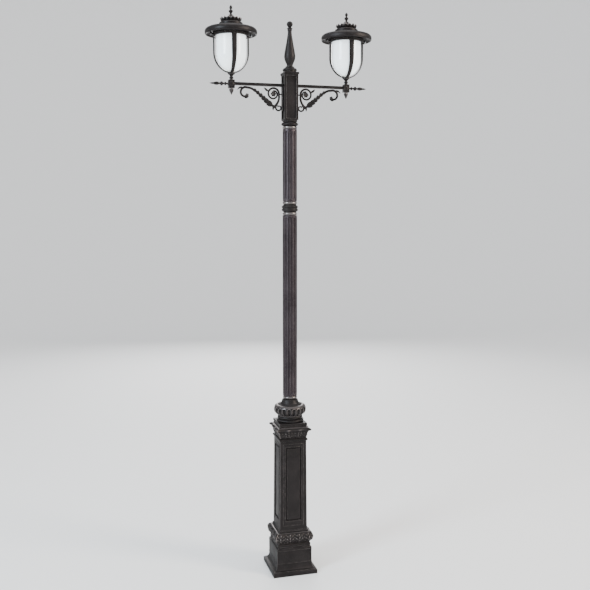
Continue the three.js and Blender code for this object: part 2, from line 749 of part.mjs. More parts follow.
// Both lanterns are alike, with the roof hinged on the side towards -X.
function lantern(side) {
  const group = new THREE.Group();
  group.position.x = side === "right" ? LANTERN_X : -LANTERN_X;
  lampPost.add(group);
  const part = (name, geometry, finish) => add(group, `${side}_${name}`, geometry, finish);

  const cup = [
    [8, BLOCK_TOP + GAP],
    [17, BLOCK_TOP + GAP],
    [17, 4341],
    [12, 4347],
    [18, 4355],
    [12, 4363],
    [18, 4374],
    [31, 4386],
    [31, CUP_TOP],
    [8, CUP_TOP],
  ];
  part("cup", faceOut(turned(cup, ROUND_SMALL)), castIron);
  part("cage", cage(), castIron);
  part("gallery", gallery(), castIron);

  const outside = bowl(GLOBE_RADIUS, GLOBE_DEPTH, GLOBE_STRAIGHT_FROM, GLOBE_NECK, 5);
  const inside = outside.map(([radius, height]) => [radius - GLOBE_WALL, height + GLOBE_WALL / 2]).reverse();
  const globe = [...outside, [GLOBE_RADIUS, GLOBE_TOP], [GLOBE_RADIUS - GLOBE_WALL, GLOBE_TOP], ...inside];
  part("globe", faceOut(turned(globe, ROUND_LARGE)), opal);

  const seal = [
    [GLOBE_RADIUS - 8, GLOBE_TOP + GAP],
    [GLOBE_RADIUS, GLOBE_TOP + GAP],
    [GLOBE_RADIUS, GALLERY_TOP - 0.5],
    [GLOBE_RADIUS - 8, GALLERY_TOP - 0.5],
  ];
  part("gasket", faceOut(turned(seal, ROUND_LARGE)), rubber);

  part("roof", roof(), castIron);

  const crown = [
    [0, ROOF_TOP + GAP],
    [78, ROOF_TOP + GAP],
    [87, 4811],
    [CROWN_RADIUS, 4822],
    [86, 4836],
    [72, 4848],
    [50, 4856],
    [24, CROWN_TOP],
    [0, CROWN_TOP],
  ];
  part("crown", faceOut(lobed(crown, CROWN_LOBES, 0.08)), castIron);

  const knob = [
    [0, CROWN_TOP + GAP],
    [20, CROWN_TOP + GAP],
    [20, 4867],
    [9, 4872],
    [8, 4880],
    [14, 4887],
    [18, 4897],
    [13, 4908],
    [6, 4913],
    [12.5, 4926],
    [9, 4940],
    [0, LANTERN_TOP],
  ];
  part("roof_finial", faceOut(turned(knob, ROUND_SMALL)), castIron);

  const pin = cylinderY(2.6, -16, 16).translate(-ROOF_PIN_OFFSET, 0, ROOF_PIN_Z);
  part("hinge_pin", pin, steel);

  const shank = cylinderX(3, THUMBSCREW_TIP, 171).translate(0, 0, ROOF_PIN_Z);
  const grip = cylinderX(10, 169, 180, 10).translate(0, 0, ROOF_PIN_Z);
  part("thumbscrew", join(shank, grip), steel);

  const holderBottom = 4399.3;
  const holder = [
    [5, holderBottom],
    [26, holderBottom],
    [26, 4405],
    [39, 4408],
    [39, 4410.6],
    [22, 4410.6],
    [22, 4448],
    [14.5, 4448],
    [14.5, 4416],
    [5, 4416],
  ];
  part("lamp_holder", faceOut(turned(holder, ROUND_SMALL)), porcelain);

  const bulb = [
    [0, 4418],
    [13.5, 4420],
    [13.5, 4450],
    [18, 4460],
    [31, 4490],
    [35, 4515],
    [30, 4538],
    [15, 4552],
    [0, 4556],
  ];
  part("bulb", faceOut(turned(bulb, ROUND_SMALL)), lampGlass);
}

// Four straps that widen upwards, cast in one with the boss they meet at under the globe.
function cage() {
  const bottomRadius = 30;
  const topHalfWidth = 19;
  const bottomHalfWidth = 11;
  const top = GALLERY_BOTTOM - GAP;
  const depth = RIB_STRAIGHT_FROM - CUP_TOP - GAP;
  const outer = bowl(RIB_RADIUS, depth, RIB_STRAIGHT_FROM, bottomRadius, 6);
  const inner = bowl(RIB_RADIUS - RIB_THICKNESS, depth - RIB_THICKNESS, RIB_STRAIGHT_FROM, bottomRadius, 6);
  const outline = [...outer, [RIB_RADIUS, top], [RIB_RADIUS - RIB_THICKNESS, top], ...inner.reverse()];
  const strap = plateXZ(outline, 2 * topHalfWidth);
  const taper = new THREE.Shape([
    new THREE.Vector2(-bottomHalfWidth, CUP_TOP - 5),
    new THREE.Vector2(bottomHalfWidth, CUP_TOP - 5),
    new THREE.Vector2(topHalfWidth, top + 5),
    new THREE.Vector2(-topHalfWidth, top + 5),
  ]);
  const wedge = new THREE.ExtrudeGeometry(taper, { depth: RIB_RADIUS + 10, bevelEnabled: false });
  wedge.rotateX(Math.PI / 2).rotateZ(Math.PI / 2);
  const rib = common(strap, wedge);
  const ribs = [0, 1, 2, 3].map((turn) => rib.clone().rotateZ((turn * Math.PI) / 2));
  const boss = turned([
    [10, CUP_TOP + GAP],
    [33, CUP_TOP + GAP],
    [33, 4397],
    [27, 4399],
    [10, 4399],
  ]);
  return join(boss, ...ribs);
}

// Ring that holds the globe's mouth, with the fixed ear of the roof hinge.
function gallery() {
  const ring = turned([
    [GALLERY_INNER, GALLERY_BOTTOM],
    [GALLERY_OUTER - 2, GALLERY_BOTTOM],
    [GALLERY_OUTER, GALLERY_BOTTOM + 3],
    [GALLERY_OUTER, GALLERY_TOP],
    [GALLERY_INNER, GALLERY_TOP],
  ], ROUND_LARGE);
  const half = 7.5;
  const ear = box(-ROOF_PIN_OFFSET, 4 - GALLERY_OUTER, -half, half, -EAR_RADIUS, EAR_RADIUS);
  ear.translate(0, 0, ROOF_PIN_Z);
  const eye = cylinderY(EAR_RADIUS, -half, half).translate(-ROOF_PIN_OFFSET, 0, ROOF_PIN_Z);
  const hole = cylinderY(3, -half - 2, half + 2).translate(-ROOF_PIN_OFFSET, 0, ROOF_PIN_Z);
  return cut(join(ring, ear, eye), hole);
}

// Thick-brimmed roof. Its underside carries the moving ears of the hinge, and the lug of the thumbscrew.
function roof() {
  const shoulder = [0, 30, 60, 90].map((degrees) => {
    const angle = THREE.MathUtils.degToRad(degrees);
    const x = BRIM_RADIUS - SHOULDER_RADIUS + SHOULDER_RADIUS * Math.cos(angle);
    return [x, 4726 + SHOULDER_RADIUS * Math.sin(angle)];
  });
  const profile = [
    [0, 4774],
    [90, 4766],
    [128, BRIM_UNDERSIDE],
    [205, BRIM_UNDERSIDE],
    [206, BRIM_LIP + 1],
    [213, BRIM_LIP],
    [BRIM_RADIUS, BRIM_LIP + 10],
    ...shoulder,
    [150, 4774],
    [100, 4783],
    [100, 4799],
    [94, ROOF_TOP],
    [0, ROOF_TOP],
  ];
  const ears = [];
  const holes = [];
  for (const y of [-11.5, 11.5]) {
    const ear = box(-EAR_RADIUS, EAR_RADIUS, y - 3, y + 3, ROOF_PIN_Z, BRIM_UNDERSIDE + 4);
    ears.push(ear.translate(-ROOF_PIN_OFFSET, 0, 0));
    ears.push(cylinderY(EAR_RADIUS, y - 3, y + 3).translate(-ROOF_PIN_OFFSET, 0, ROOF_PIN_Z));
    holes.push(cylinderY(3, y - 5, y + 5).translate(-ROOF_PIN_OFFSET, 0, ROOF_PIN_Z));
  }
  const lug = box(160, 168, -8, 8, ROOF_PIN_Z - 8, BRIM_UNDERSIDE + 4);
  const lugHole = cylinderX(3.4, 155, 175).translate(0, 0, ROOF_PIN_Z);
  return cut(join(turned(profile, ROUND_LARGE), ...ears, lug), ...holes, lugHole);
}

// ---------------------------------------------------------------- assembly

anchorage();
plinth();
leafBand();
const rearFace = pedestalFace(2);
pedestal(rearFace);
accessDoor(rearFace);
fuseBox();
capital();
columnFoot();
column();
head();
spire();
for (const side of ["left", "right"]) {
  arm(side);
  lantern(side);
}

export default lampPost;
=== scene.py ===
"""A street lamp post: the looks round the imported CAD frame.

Lengths are in millimetres, as in the CAD, unless a name or a comment says metres.
The post's axis is Z, the arms lie along X, and the front faces -Y.
"""

import math
import bmesh
import bpy
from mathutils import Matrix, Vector


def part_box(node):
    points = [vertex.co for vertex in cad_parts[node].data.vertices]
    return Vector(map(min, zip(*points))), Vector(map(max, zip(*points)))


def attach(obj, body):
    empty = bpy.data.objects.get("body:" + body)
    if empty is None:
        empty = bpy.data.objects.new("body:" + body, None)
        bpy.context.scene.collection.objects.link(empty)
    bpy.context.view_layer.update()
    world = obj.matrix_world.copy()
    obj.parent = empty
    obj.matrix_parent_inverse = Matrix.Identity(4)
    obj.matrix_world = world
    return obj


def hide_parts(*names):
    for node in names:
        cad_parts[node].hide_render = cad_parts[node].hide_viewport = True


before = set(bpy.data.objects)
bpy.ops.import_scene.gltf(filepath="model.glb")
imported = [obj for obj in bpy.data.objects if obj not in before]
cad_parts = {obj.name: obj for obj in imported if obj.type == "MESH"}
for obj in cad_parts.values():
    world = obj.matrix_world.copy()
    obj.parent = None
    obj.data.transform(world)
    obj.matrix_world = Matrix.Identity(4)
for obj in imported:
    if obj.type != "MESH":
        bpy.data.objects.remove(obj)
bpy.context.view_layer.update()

# One millimetre in Blender's metres.
MM = 0.001


def corners_of(node):
    """A CAD node's lowest and highest corners, to a tenth of a millimetre."""
    low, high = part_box(node)
    return [round(v / MM, 1) for v in low], [round(v / MM, 1) for v in high]


def middle_of(node, axis):
    """The middle of a CAD node's box along one axis, where 0 is X and 2 is Z."""
    low, high = corners_of(node)
    return round((low[axis] + high[axis]) / 2, 1)


# Places that more than one piece is built round. LID_HINGE_X is measured from the lantern's axis.
LANTERN_X = middle_of("right_end_block", 0)
BLOCK_HALF = corners_of("right_end_block")[1][1]
HEAD_HALF = corners_of("head_box")[1][0]
ARM_Z = middle_of("right_arm", 2)
LID_HINGE_X = middle_of("right_hinge_pin", 0) - LANTERN_X
LID_HINGE_Z = middle_of("right_hinge_pin", 2)
SIDES = {"left": -1, "right": 1}
FACES = ("front", "right", "rear", "left")

# How each finish wears, catches the light and takes its painted highlights and painted shade, whatever its
# colour.
COAT_ROUGHNESS = 0.22
EDGE_WEAR_AND_HIGHLIGHT_RADIUS = 3.5
RELIEF_DEPTH = 0.6
FINE_GRAIN_SHARE = 0.35
# The share of the dark colour that paints the hollows of relief as painted shade.
HOLLOW_SHADE = 0.35

# Corners that turn by more degrees than this are shaded sharp, and rounded where a piece has a bevel.
SHARP_ANGLE = 38


# ---------------------------------------------------------------- materials

def paint(name, dark, light, grain, roughness, metallic, bump,
          fleck=None, wear_and_highlight=None, coat=0.0, sheen=1.0, painted_relief_light=False):
    """A surface with blotches, grain, flecks, and edges painted lighter both as wear and as painted
    highlight.

    dark and light are the blotches' two colours, and roughness their two roughnesses.
    grain is the grain's size, and bump its strength. fleck is the flecks' colour, and the lighter edge
    colour stands for both wear and painted highlight; each where wanted.
    """
    made = bpy.data.materials.new(name)
    made.use_nodes = True
    tree = made.node_tree
    shader = tree.nodes["Principled BSDF"]
    shader.inputs["Metallic"].default_value = metallic
    shader.inputs["Coat Weight"].default_value = coat
    shader.inputs["Coat Roughness"].default_value = COAT_ROUGHNESS
    shader.inputs["Specular Tint"].default_value = (sheen, sheen, sheen, 1)
    place = tree.nodes.new("ShaderNodeTexCoord").outputs["Object"]

    def noise(scale, detail=4.0):
        node = tree.nodes.new("ShaderNodeTexNoise")
        node.inputs["Scale"].default_value = scale
        node.inputs["Detail"].default_value = detail
        tree.links.new(place, node.inputs["Vector"])
        return node.outputs["Fac"]

    def remap(value, low, high, to_low=0.0, to_high=1.0):
        node = tree.nodes.new("ShaderNodeMapRange")
        node.inputs["From Min"].default_value = low
        node.inputs["From Max"].default_value = high
        node.inputs["To Min"].default_value = to_low
        node.inputs["To Max"].default_value = to_high
        tree.links.new(value, node.inputs["Value"])
        return node.outputs["Result"]

    def blend(factor, first, second):
        node = tree.nodes.new("ShaderNodeMix")
        node.data_type = "RGBA"
        tree.links.new(factor, node.inputs["Factor"])
        for socket, value in ((node.inputs["A"], first), (node.inputs["B"], second)):
            if isinstance(value, tuple):
                socket.default_value = (*value, 1)
            else:
                tree.links.new(value, socket)
        return node.outputs["Result"]

    def times(first, second):
        node = tree.nodes.new("ShaderNodeMath")
        node.operation = "MULTIPLY"
        tree.links.new(first, node.inputs[0])
        tree.links.new(second, node.inputs[1])
        return node.outputs["Value"]

    blotches = noise(7.0, 6.0)
    grains = noise(1.0 / (grain * MM), 3.0)
    fine = noise(4.0 / (grain * MM), 2.0)
    colour = blend(remap(blotches, 0.35, 0.65), dark, light)
    rough = remap(blotches, 0.3, 0.7, roughness[0], roughness[1])
    if fleck:
        colour = blend(remap(grains, 0.56, 0.66, 0.0, 0.75), colour, fleck)
    if wear_and_highlight:
        # Edges are where a rounded normal leaves the true one. They are painted lighter, in patches, both
        # as wear and as painted highlight.
        rounded = tree.nodes.new("ShaderNodeBevel")
        rounded.samples = 4
        rounded.inputs["Radius"].default_value = EDGE_WEAR_AND_HIGHLIGHT_RADIUS * MM
        true = tree.nodes.new("ShaderNodeNewGeometry").outputs["Normal"]
        facing = tree.nodes.new("ShaderNodeVectorMath")
        facing.operation = "DOT_PRODUCT"
        tree.links.new(rounded.outputs["Normal"], facing.inputs[0])
        tree.links.new(true, facing.inputs[1])
        edge = remap(facing.outputs["Value"], 0.995, 0.9, 0.0, 1.0)
        patchy = remap(noise(60.0, 5.0), 0.4, 0.6, 0.15, 0.8)
        colour = blend(times(edge, patchy), colour, wear_and_highlight)
    if painted_relief_light:
        # On finely modelled relief the high parts are painted bright as painted highlight, which also
        # stands for rubbing, and the hollows are painted dark as painted shade.
        height = tree.nodes.new("ShaderNodeNewGeometry").outputs["Pointiness"]
        shade = tuple(channel * HOLLOW_SHADE for channel in dark)
        colour = blend(remap(height, 0.49, 0.45, 0.0, 0.85), colour, shade)
        colour = blend(remap(height, 0.515, 0.58, 0.0, 0.8), colour, wear_and_highlight)
    tree.links.new(colour, shader.inputs["Base Color"])
    tree.links.new(rough, shader.inputs["Roughness"])
    both = tree.nodes.new("ShaderNodeMath")
    both.operation = "MULTIPLY_ADD"
    tree.links.new(fine, both.inputs[0])
    both.inputs[1].default_value = FINE_GRAIN_SHARE
    tree.links.new(grains, both.inputs[2])
    relief = tree.nodes.new("ShaderNodeBump")
    relief.inputs["Strength"].default_value = bump
    relief.inputs["Distance"].default_value = RELIEF_DEPTH * MM
    tree.links.new(both.outputs["Value"], relief.inputs["Height"])
    tree.links.new(relief.outputs["Normal"], shader.inputs["Normal"])
    return made


def opal_finish():
    """White opal, faintly translucent, with a painted glow and a cool painted tint that stand for studio
    light on it, and a slight mottle in its thickness.
    """
    painted_glow = (0.9, 0.97, 1.0, 1)
    painted_glow_strength = 1.1
    scatter_share = 0.25
    scatter_metres = 0.02
    # The colour's cool tint is painted light, standing for the cool light from the left.
    made = paint("opal", (0.8, 0.88, 0.91), (0.9, 0.94, 0.95), 30, (0.14, 0.24), 0.0, 0.05, coat=0.4)
    shader = made.node_tree.nodes["Principled BSDF"]
    shader.inputs["Subsurface Weight"].default_value = scatter_share
    shader.inputs["Subsurface Radius"].default_value = (scatter_metres,) * 3
    shader.inputs["Emission Color"].default_value = painted_glow
    shader.inputs["Emission Strength"].default_value = painted_glow_strength
    return made


FINISHES = {
    "cast_iron": paint(
        "cast_iron", (0.010, 0.0085, 0.0085), (0.019, 0.016, 0.016), 5.0, (0.37, 0.5), 0.55, 0.3,
        fleck=(0.036, 0.032, 0.031), wear_and_highlight=(0.2, 0.18, 0.172), sheen=0.42),
    # Relief iron has painted highlights on its ridges and painted shade in its hollows.
    "relief_iron": paint(
        "relief_iron", (0.009, 0.008, 0.008), (0.017, 0.014, 0.014), 5.0, (0.34, 0.46), 0.6, 0.3,
        fleck=(0.036, 0.032, 0.031), wear_and_highlight=(0.38, 0.335, 0.325), sheen=0.5, painted_relief_light=True),
    # A lighter copy of the iron for the astragals: its lighter colour is a painted highlight.
    "painted_highlight_iron": paint(
        "painted_highlight_iron", (0.09, 0.08, 0.08), (0.16, 0.145, 0.142), 4.0, (0.22, 0.34), 0.85, 0.3,
        fleck=(0.3, 0.27, 0.265), wear_and_highlight=(0.5, 0.46, 0.45)),
    "fluted_iron": paint(
        "fluted_iron", (0.025, 0.0185, 0.0215), (0.045, 0.0345, 0.039), 6.0, (0.34, 0.46), 0.7, 0.45,
        fleck=(0.1, 0.086, 0.09), wear_and_highlight=(0.18, 0.155, 0.158), sheen=0.8),
    "steel": paint(
        "steel", (0.3, 0.31, 0.33), (0.45, 0.46, 0.47), 9.0, (0.35, 0.5), 0.9, 0.2,
        fleck=(0.55, 0.56, 0.58), wear_and_highlight=(0.6, 0.6, 0.6)),
    "opal": opal_finish(),
    "rubber": paint(
        "rubber", (0.012, 0.012, 0.012), (0.03, 0.03, 0.03), 1.5, (0.7, 0.9), 0.0, 0.3),
    "porcelain": paint(
        "porcelain", (0.72, 0.7, 0.64), (0.82, 0.8, 0.74), 20.0, (0.12, 0.25), 0.0, 0.05, coat=0.5),
    "lamp_glass": paint(
        "lamp_glass", (0.78, 0.76, 0.7), (0.88, 0.86, 0.8), 10.0, (0.25, 0.35), 0.0, 0.05),
    "grey_plastic": paint(
        "grey_plastic", (0.09, 0.095, 0.1), (0.13, 0.135, 0.14), 1.2, (0.5, 0.65), 0.0, 0.25,
        wear_and_highlight=(0.22, 0.22, 0.23)),
}


# ---------------------------------------------------------------- shapes

def arc(cx, cz, radius, start, end, steps=8, tall=1.0):
    """Points on a circle's arc, or an ellipse's if tall isn't 1, between two angles in degrees."""
    points = []
    for i in range(steps + 1):
        angle = math.radians(start + (end - start) * i / steps)
        points.append((cx + radius * math.cos(angle), cz + tall * radius * math.sin(angle)))
    return points


def bezier(a, b, c, d, steps=10):
    """Points on a cubic curve."""
    points = []
    for i in range(steps + 1):
        t = i / steps
        weights = ((1 - t) ** 3, 3 * t * (1 - t) ** 2, 3 * t * t * (1 - t), t ** 3)
        points.append(tuple(sum(w * p[k] for w, p in zip(weights, (a, b, c, d))) for k in (0, 1)))
    return points


def spiral(cx, cz, start, sweep, outer, inner, steps=40):
    """Points on a spiral that turns clockwise and tightens towards its end."""
    points = []
    for i in range(steps + 1):
        share = i / steps
        angle = math.radians(start - sweep * share)
        radius = outer - (outer - inner) * share ** 2
        points.append((cx + radius * math.cos(angle), cz + radius * math.sin(angle)))
    return points


def smooth_step(value):
    """Eases from 0 to 1 as value goes from 0 to 1, and stays flat outside them."""
    value = min(1.0, max(0.0, value))
    return value * value * (3 - 2 * value)


def quarter_turned(x, y, quarters):
    """A point carried round the Z axis by a number of quarter turns."""
    for _ in range(quarters):
        x, y = -y, x
    return x, y


def dress(piece, body, slot, nodes, finish):
    """Gives a piece its finish, its body and the CAD nodes that it stands for."""
    piece.data.materials.clear()
    piece.data.materials.append(FINISHES[finish or slot])
    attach(piece, body)
    if nodes:
        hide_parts(*nodes)


def own_finish(node, slot, edges, segments=2):
    """Keeps a CAD node in the picture, with its finish and rounded edges."""
    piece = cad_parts[node]
    piece.data.materials.clear()
    piece.data.materials.append(FINISHES[slot])
    round_edges(piece, edges, segments)


def round_edges(piece, width, segments=2):
    """A bevel on every corner that is sharp enough."""
    bevel = piece.modifiers.new("edges", "BEVEL")
    bevel.width = width * MM
    bevel.segments = segments
    bevel.limit_method = "ANGLE"
    bevel.angle_limit = math.radians(SHARP_ANGLE)


def solid(name, rings, body, slot="cast_iron", nodes=(), loop=False, shift=0, side=1, edges=0.0,
          sharp=SHARP_ANGLE, finish=None):
    """A closed mesh through rings of points.

    loop joins the last ring to the first, for a form with a hole through it; if not, the ends are capped.
    side -1 mirrors the form in X, and shift then moves it along X. edges is a bevel's width.
    """
    shape = bmesh.new()
    rows = []
    for ring in rings:
        places = [((x * side + shift) * MM, y * MM, z * MM) for x, y, z in ring]
        rows.append([shape.verts.new(place) for place in places])
    count = len(rows[0])
    pairs = list(zip(rows, rows[1:]))
    if loop:
        pairs.append((rows[-1], rows[0]))
    for low, high in pairs:
        for i in range(count):
            k = (i + 1) % count
            shape.faces.new((low[i], low[k], high[k], high[i]))
    if not loop:
        shape.faces.new(rows[0])
        shape.faces.new(rows[-1])
    bmesh.ops.remove_doubles(shape, verts=shape.verts, dist=1e-6)
    bmesh.ops.dissolve_degenerate(shape, edges=shape.edges, dist=1e-7)
    bmesh.ops.recalc_face_normals(shape, faces=shape.faces)
    mesh = bpy.data.meshes.new(name)
    shape.to_mesh(mesh)
    shape.free()
    mesh.shade_smooth()
    mesh.set_sharp_from_angle(angle=math.radians(sharp))
    piece = bpy.data.objects.new(name, mesh)
    bpy.context.collection.objects.link(piece)
    if edges:
        round_edges(piece, edges)
    dress(piece, body, slot, nodes, finish)


def turn(profile, segments=96, swell=None):
    """Rings of a profile turned about the vertical axis. swell gives a point's new (radius, height)."""
    rings = []
    for row, (radius, height) in enumerate(profile):
        ring = []
        for i in range(segments):
            angle = 2 * math.pi * i / segments
            r, z = radius, height
            if swell:
                r, z = swell(angle, row, radius, height)
            ring.append((r * math.cos(angle), r * math.sin(angle), z))
        rings.append(ring)
    return rings


def square(profile, steps=1, swell=None):
    """Rings of a profile of (half-width, height) carried round a square.

    swell pushes a point outwards, by its place across the side, -1 to 1, and its share of the profile.
    """
    rings = []
    for row, (half, height) in enumerate(profile):
        ring = []
        for quarter in range(4):
            for i in range(steps):
                across = -1 + 2 * i / steps
                out = half + (swell(across, row / (len(profile) - 1)) if swell else 0)
                ring.append((*quarter_turned(across * out, -out, quarter), height))
        rings.append(ring)
    return rings


def along_x(rings):
    """Lays a form that stands on Z down along X."""
    return [[(z, y, -x) for x, y, z in ring] for ring in rings]


def along_y(rings):
    """Lays a form that stands on Z down along -Y."""
    return [[(x, -z, y) for x, y, z in ring] for ring in rings]


def moved(rings, dx, dy, dz):
    return [[(x + dx, y + dy, z + dz) for x, y, z in ring] for ring in rings]


ROUND_SECTION = [(math.cos(a), math.sin(a)) for a in (math.pi * 2 * i / 14 for i in range(14))]


def sweep(line, widths, depths, section=ROUND_SECTION):
    """Rings along a line in the X-Z plane. widths lie in that plane, and depths across it."""
    rings = []
    last = len(line) - 1
    for i, (x, z) in enumerate(line):
        before = line[max(i - 1, 0)]
        after = line[min(i + 1, last)]
        dx, dz = after[0] - before[0], after[1] - before[1]
        length = math.hypot(dx, dz)
        nx, nz = -dz / length, dx / length
        share = i / last
        w = widths(share) / 2
        d = depths(share) / 2
        rings.append([(x + nx * w * a, d * b, z + nz * w * a) for a, b in section])
    return rings


def bar(name, low, high, body, nodes, edges, shift=0, side=1):
    """A cast iron box between two corners, with rounded edges."""
    (x0, y0, z0), (x1, y1, z1) = low, high
    rings = [[(x0, y0, z), (x1, y0, z), (x1, y1, z), (x0, y1, z)] for z in (z0, z1)]
    solid(name, rings, body, nodes=nodes, shift=shift, side=side, edges=edges)


# ---------------------------------------------------------------- ornament

def acanthus(across, up):
    """Height of an acanthus leaf's relief, from 0 off the leaf to about 1.1 on its rib.

    across runs from -1 to 1 over the leaf's width, and up from 0 at its root to 1 at its tip.
    """
    lobes = 3.5
    widest_at = 0.45
    widest_half = 0.97
    if up > widest_at:
        half = widest_half * math.sqrt(max(0.0, 1 - ((up - widest_at) / 0.56) ** 2))
    else:
        half = widest_half - 0.35 * ((widest_at - up) / widest_at) ** 2
    half *= 1 - 0.2 * (0.5 + 0.5 * math.cos(2 * math.pi * lobes * up))
    inside = smooth_step((half - abs(across)) / 0.14)
    veins = 0.5 + 0.5 * math.cos(2 * math.pi * (lobes * up - 1.2 * abs(across)))
    rib = math.exp(-((across / 0.11) ** 2))
    belly = 0.55 + 0.45 * math.sin(math.pi * min(1, up + 0.1))
    return inside * (0.45 + 0.3 * veins + 0.35 * rib) * belly


def leaf_row(count, height, start=0.0):
    """Relief of leaves along each side of a square, with a row behind showing between them.

    start shifts the leaves along the side, in leaves. Both ends of the profile stay flat.
    """
    def swell(across, share):
        place = (across + 1) / 2 * count + start
        front = acanthus(2 * (place % 1) - 1, share)
        behind = acanthus(2 * ((place + 0.5) % 1) - 1, share * 0.92) * 0.5
        return height * max(front, behind) * smooth_step(share * 9) * smooth_step((1 - share) * 9)
    return swell


def flower(name, x, y, z, radius, depth, side, petals):
    """A rosette on an axis along Y, domed on both faces."""
    # The share of the radius where the middle button ends and the petals' notches begin.
    button = 0.36
    half = [(0, 1), (0.2, 0.96), (0.3, 0.7), (button, 0.62), (0.6, 0.86), (0.85, 0.66), (1, 0.2)]
    profile = [(radius * r, -depth * h) for r, h in half]
    profile += [(radius * r, depth * h) for r, h in reversed(half)]

    def swell(angle, row, r, h):
        petal = abs(math.cos(angle * petals / 2))
        outer = smooth_step((r / radius - button) / 0.3)
        return r * (1 - 0.26 * outer * (1 - petal) ** 1.3), h * (1 - 0.35 * outer * (1 - petal))

    rings = moved(along_y(turn(profile, 72, swell)), x, y, z)
    solid(name, rings, "post", side=side)


# ---------------------------------------------------------------- pedestal

# Points along each side of a square band of leaves, and how sharp its carving is shaded.
LEAF_STEPS = 150
LEAF_SHARP_ANGLE = 60

# The pedestal's faces lean in from its foot to its top.
PEDESTAL_FOOT_Z = 398
PEDESTAL_FOOT_HALF = 124
PEDESTAL_SLOPE = 6 / 810

# The recessed panel in each face, and the doorway of the same size, as the CAD cuts them.
PANEL_LOW = 482
PANEL_HIGH = 1153
PANEL_HALF = 72.5

# A raised field is built up from here, just under the floor of its recess, measured from the face.
FIELD_BASE = -12.4

# How far each level of a field is inside its foot, and how far out it stands from FIELD_BASE.
RAISED_FIELD = [(0, -0.4), (0, 7.6), (1, 9.2), (3.5, 10.2), (6.5, 10.4)]
DOOR_FIELD = [(0, -0.6), (0, 1.8), (3, 3.6), (5, 3.8)]


def plinth():
    """A slab, a hollow skirt and the die above it, in one casting."""
    skirt_half, skirt_low, skirt_high = 190.5, 44, 92
    die_half = 158.5
    bead_radius = 2.6
    profile = [(201, 0), (201, 34), (199, 37.5), (195, 39), (skirt_half, 40), (skirt_half, skirt_low)]
    for i in range(1, 13):
        angle = math.pi / 2 * i / 12
        half = skirt_half - (skirt_half - die_half) * math.sin(angle)
        profile.append((half, skirt_high - (skirt_high - skirt_low) * math.cos(angle)))
    profile += [(die_half, 236), (157.5, 239), (155, 240), (149.5, 240), (149.5, 254.5), (148, 256)]
    inside = [(100, 256), (100, 246), (146.5, 228), (146.5, 70), (168, 40), (168, 0)]
    solid("plinth_casting", square(profile + inside), "post", nodes=["plinth"], loop=True, edges=1.6)
    # A thin bead round the die, near its top and near its foot.
    for i, height in enumerate((222, 106)):
        bead = arc(die_half, height, bead_radius, -90, 90, 6)
        bead += [(die_half - 6, height + bead_radius), (die_half - 6, height - bead_radius)]
        solid(f"plinth_bead_{i + 1}", square(bead), "post", loop=True)


def leaf_band():
    """A band of acanthus leaves over the die, and the plain moulding that carries it."""
    belly = bezier((142, 281), (142, 296), (154, 298), (160, 316), 14)
    belly += bezier((160, 316), (167, 335), (168, 362), (146, 376), 26)[1:]
    leaves = square([(120, 281)] + belly + [(120, 376)], LEAF_STEPS, leaf_row(4, 14))
    solid("leaf_band_leaves", leaves, "post", nodes=["leaf_band"], loop=True,
          sharp=LEAF_SHARP_ANGLE, finish="relief_iron")
    mould = [(100, 256.3), (146, 256.3), (150, 261), (151.5, 266), (150, 271), (146, 275)]
    mould += [(141, 280), (141, 376), (139, 378), (133, 379.7), (100, 379.7)]
    solid("leaf_band_mould", square(mould), "post", nodes=["leaf_band"], loop=True, edges=0.6)


def face_of_pedestal(quarter, x, out, z):
    """A point on one outer face of the tapering pedestal. out is measured from the face."""
    half = PEDESTAL_FOOT_HALF - PEDESTAL_SLOPE * (z - PEDESTAL_FOOT_Z)
    return (*quarter_turned(x, -(half + out), quarter), z)


def half_round(width, depth, sink):
    """The section of a moulded bead, as (across, out) pairs, with its back sunk into the face."""
    steps = 7
    section = [(0, sink)]
    for i in range(steps + 1):
        angle = math.pi * i / steps
        section.append((width * (0.5 - 0.5 * math.cos(angle)), depth * math.sin(angle) + 0.2))
    return section + [(width, sink)]


def frame_round(name, section, half, low, high, place):
    """A bead carried round an upright rectangle, mitred at its corners.

    section is (across, out) pairs, and place puts (x, out, z) on a face.
    """
    corners = [(-half, low, -1, -1), (half, low, 1, -1), (half, high, 1, 1), (-half, high, -1, 1)]
    rings = []
    for x, z, outward_x, outward_z in corners:
        rings.append([place(x + outward_x * s, out, z + outward_z * s) for s, out in section])
    solid(name, rings, "post", loop=True)


def panel_bead(name, quarter, half, low, high, width, depth):
    """A moulded frame on a face of the pedestal."""
    def place(x, out, z):
        return face_of_pedestal(quarter, x, out, z)

    frame_round(name, half_round(width, depth, -1.5), half, low, high, place)


def recessed_field(name, quarter, low, high, opening, half, levels, body):
    """A raised field in a recess, leaving an even groove between itself and the frame."""
    margin = opening - half
    rings = []
    for inset, up in levels:
        x, bottom, top = half - inset, low + margin + inset, high - margin - inset
        corners = ((-x, bottom), (x, bottom), (x, top), (-x, top))
        rings.append([face_of_pedestal(quarter, cx, up + FIELD_BASE, cz) for cx, cz in corners])
    solid(name, rings, body, sharp=10)


def pedestal():
    own_finish("pedestal", "cast_iron", 1.4)
    low, high = PANEL_LOW - 1, PANEL_HIGH + 1
    for quarter, side in enumerate(FACES):
        if side == "rear":
            # The door fills this panel, so its bead is low enough for the hinge straps to pass over.
            panel_bead("panel_bead_rear", quarter, PANEL_HALF + 2, low, high, 7, 0.5)
        else:
            panel_bead(f"panel_bead_{side}", quarter, PANEL_HALF + 1, low, high, 7, 3.4)
            panel_bead(f"outer_bead_{side}", quarter, 90, 440, 1180, 5, 2.2)
            recessed_field(f"panel_field_{side}", quarter, PANEL_LOW, PANEL_HIGH, PANEL_HALF, 58.5,
                           RAISED_FIELD, "post")


def rear_door():
    own_finish("access_door", "cast_iron", 1.0)
    rear = FACES.index("rear")
    recessed_field("door_field_lower", rear, 505, 588, 30, 30, DOOR_FIELD, "door")
    recessed_field("door_field_upper", rear, 660, 1120, 30, 30, DOOR_FIELD, "door")


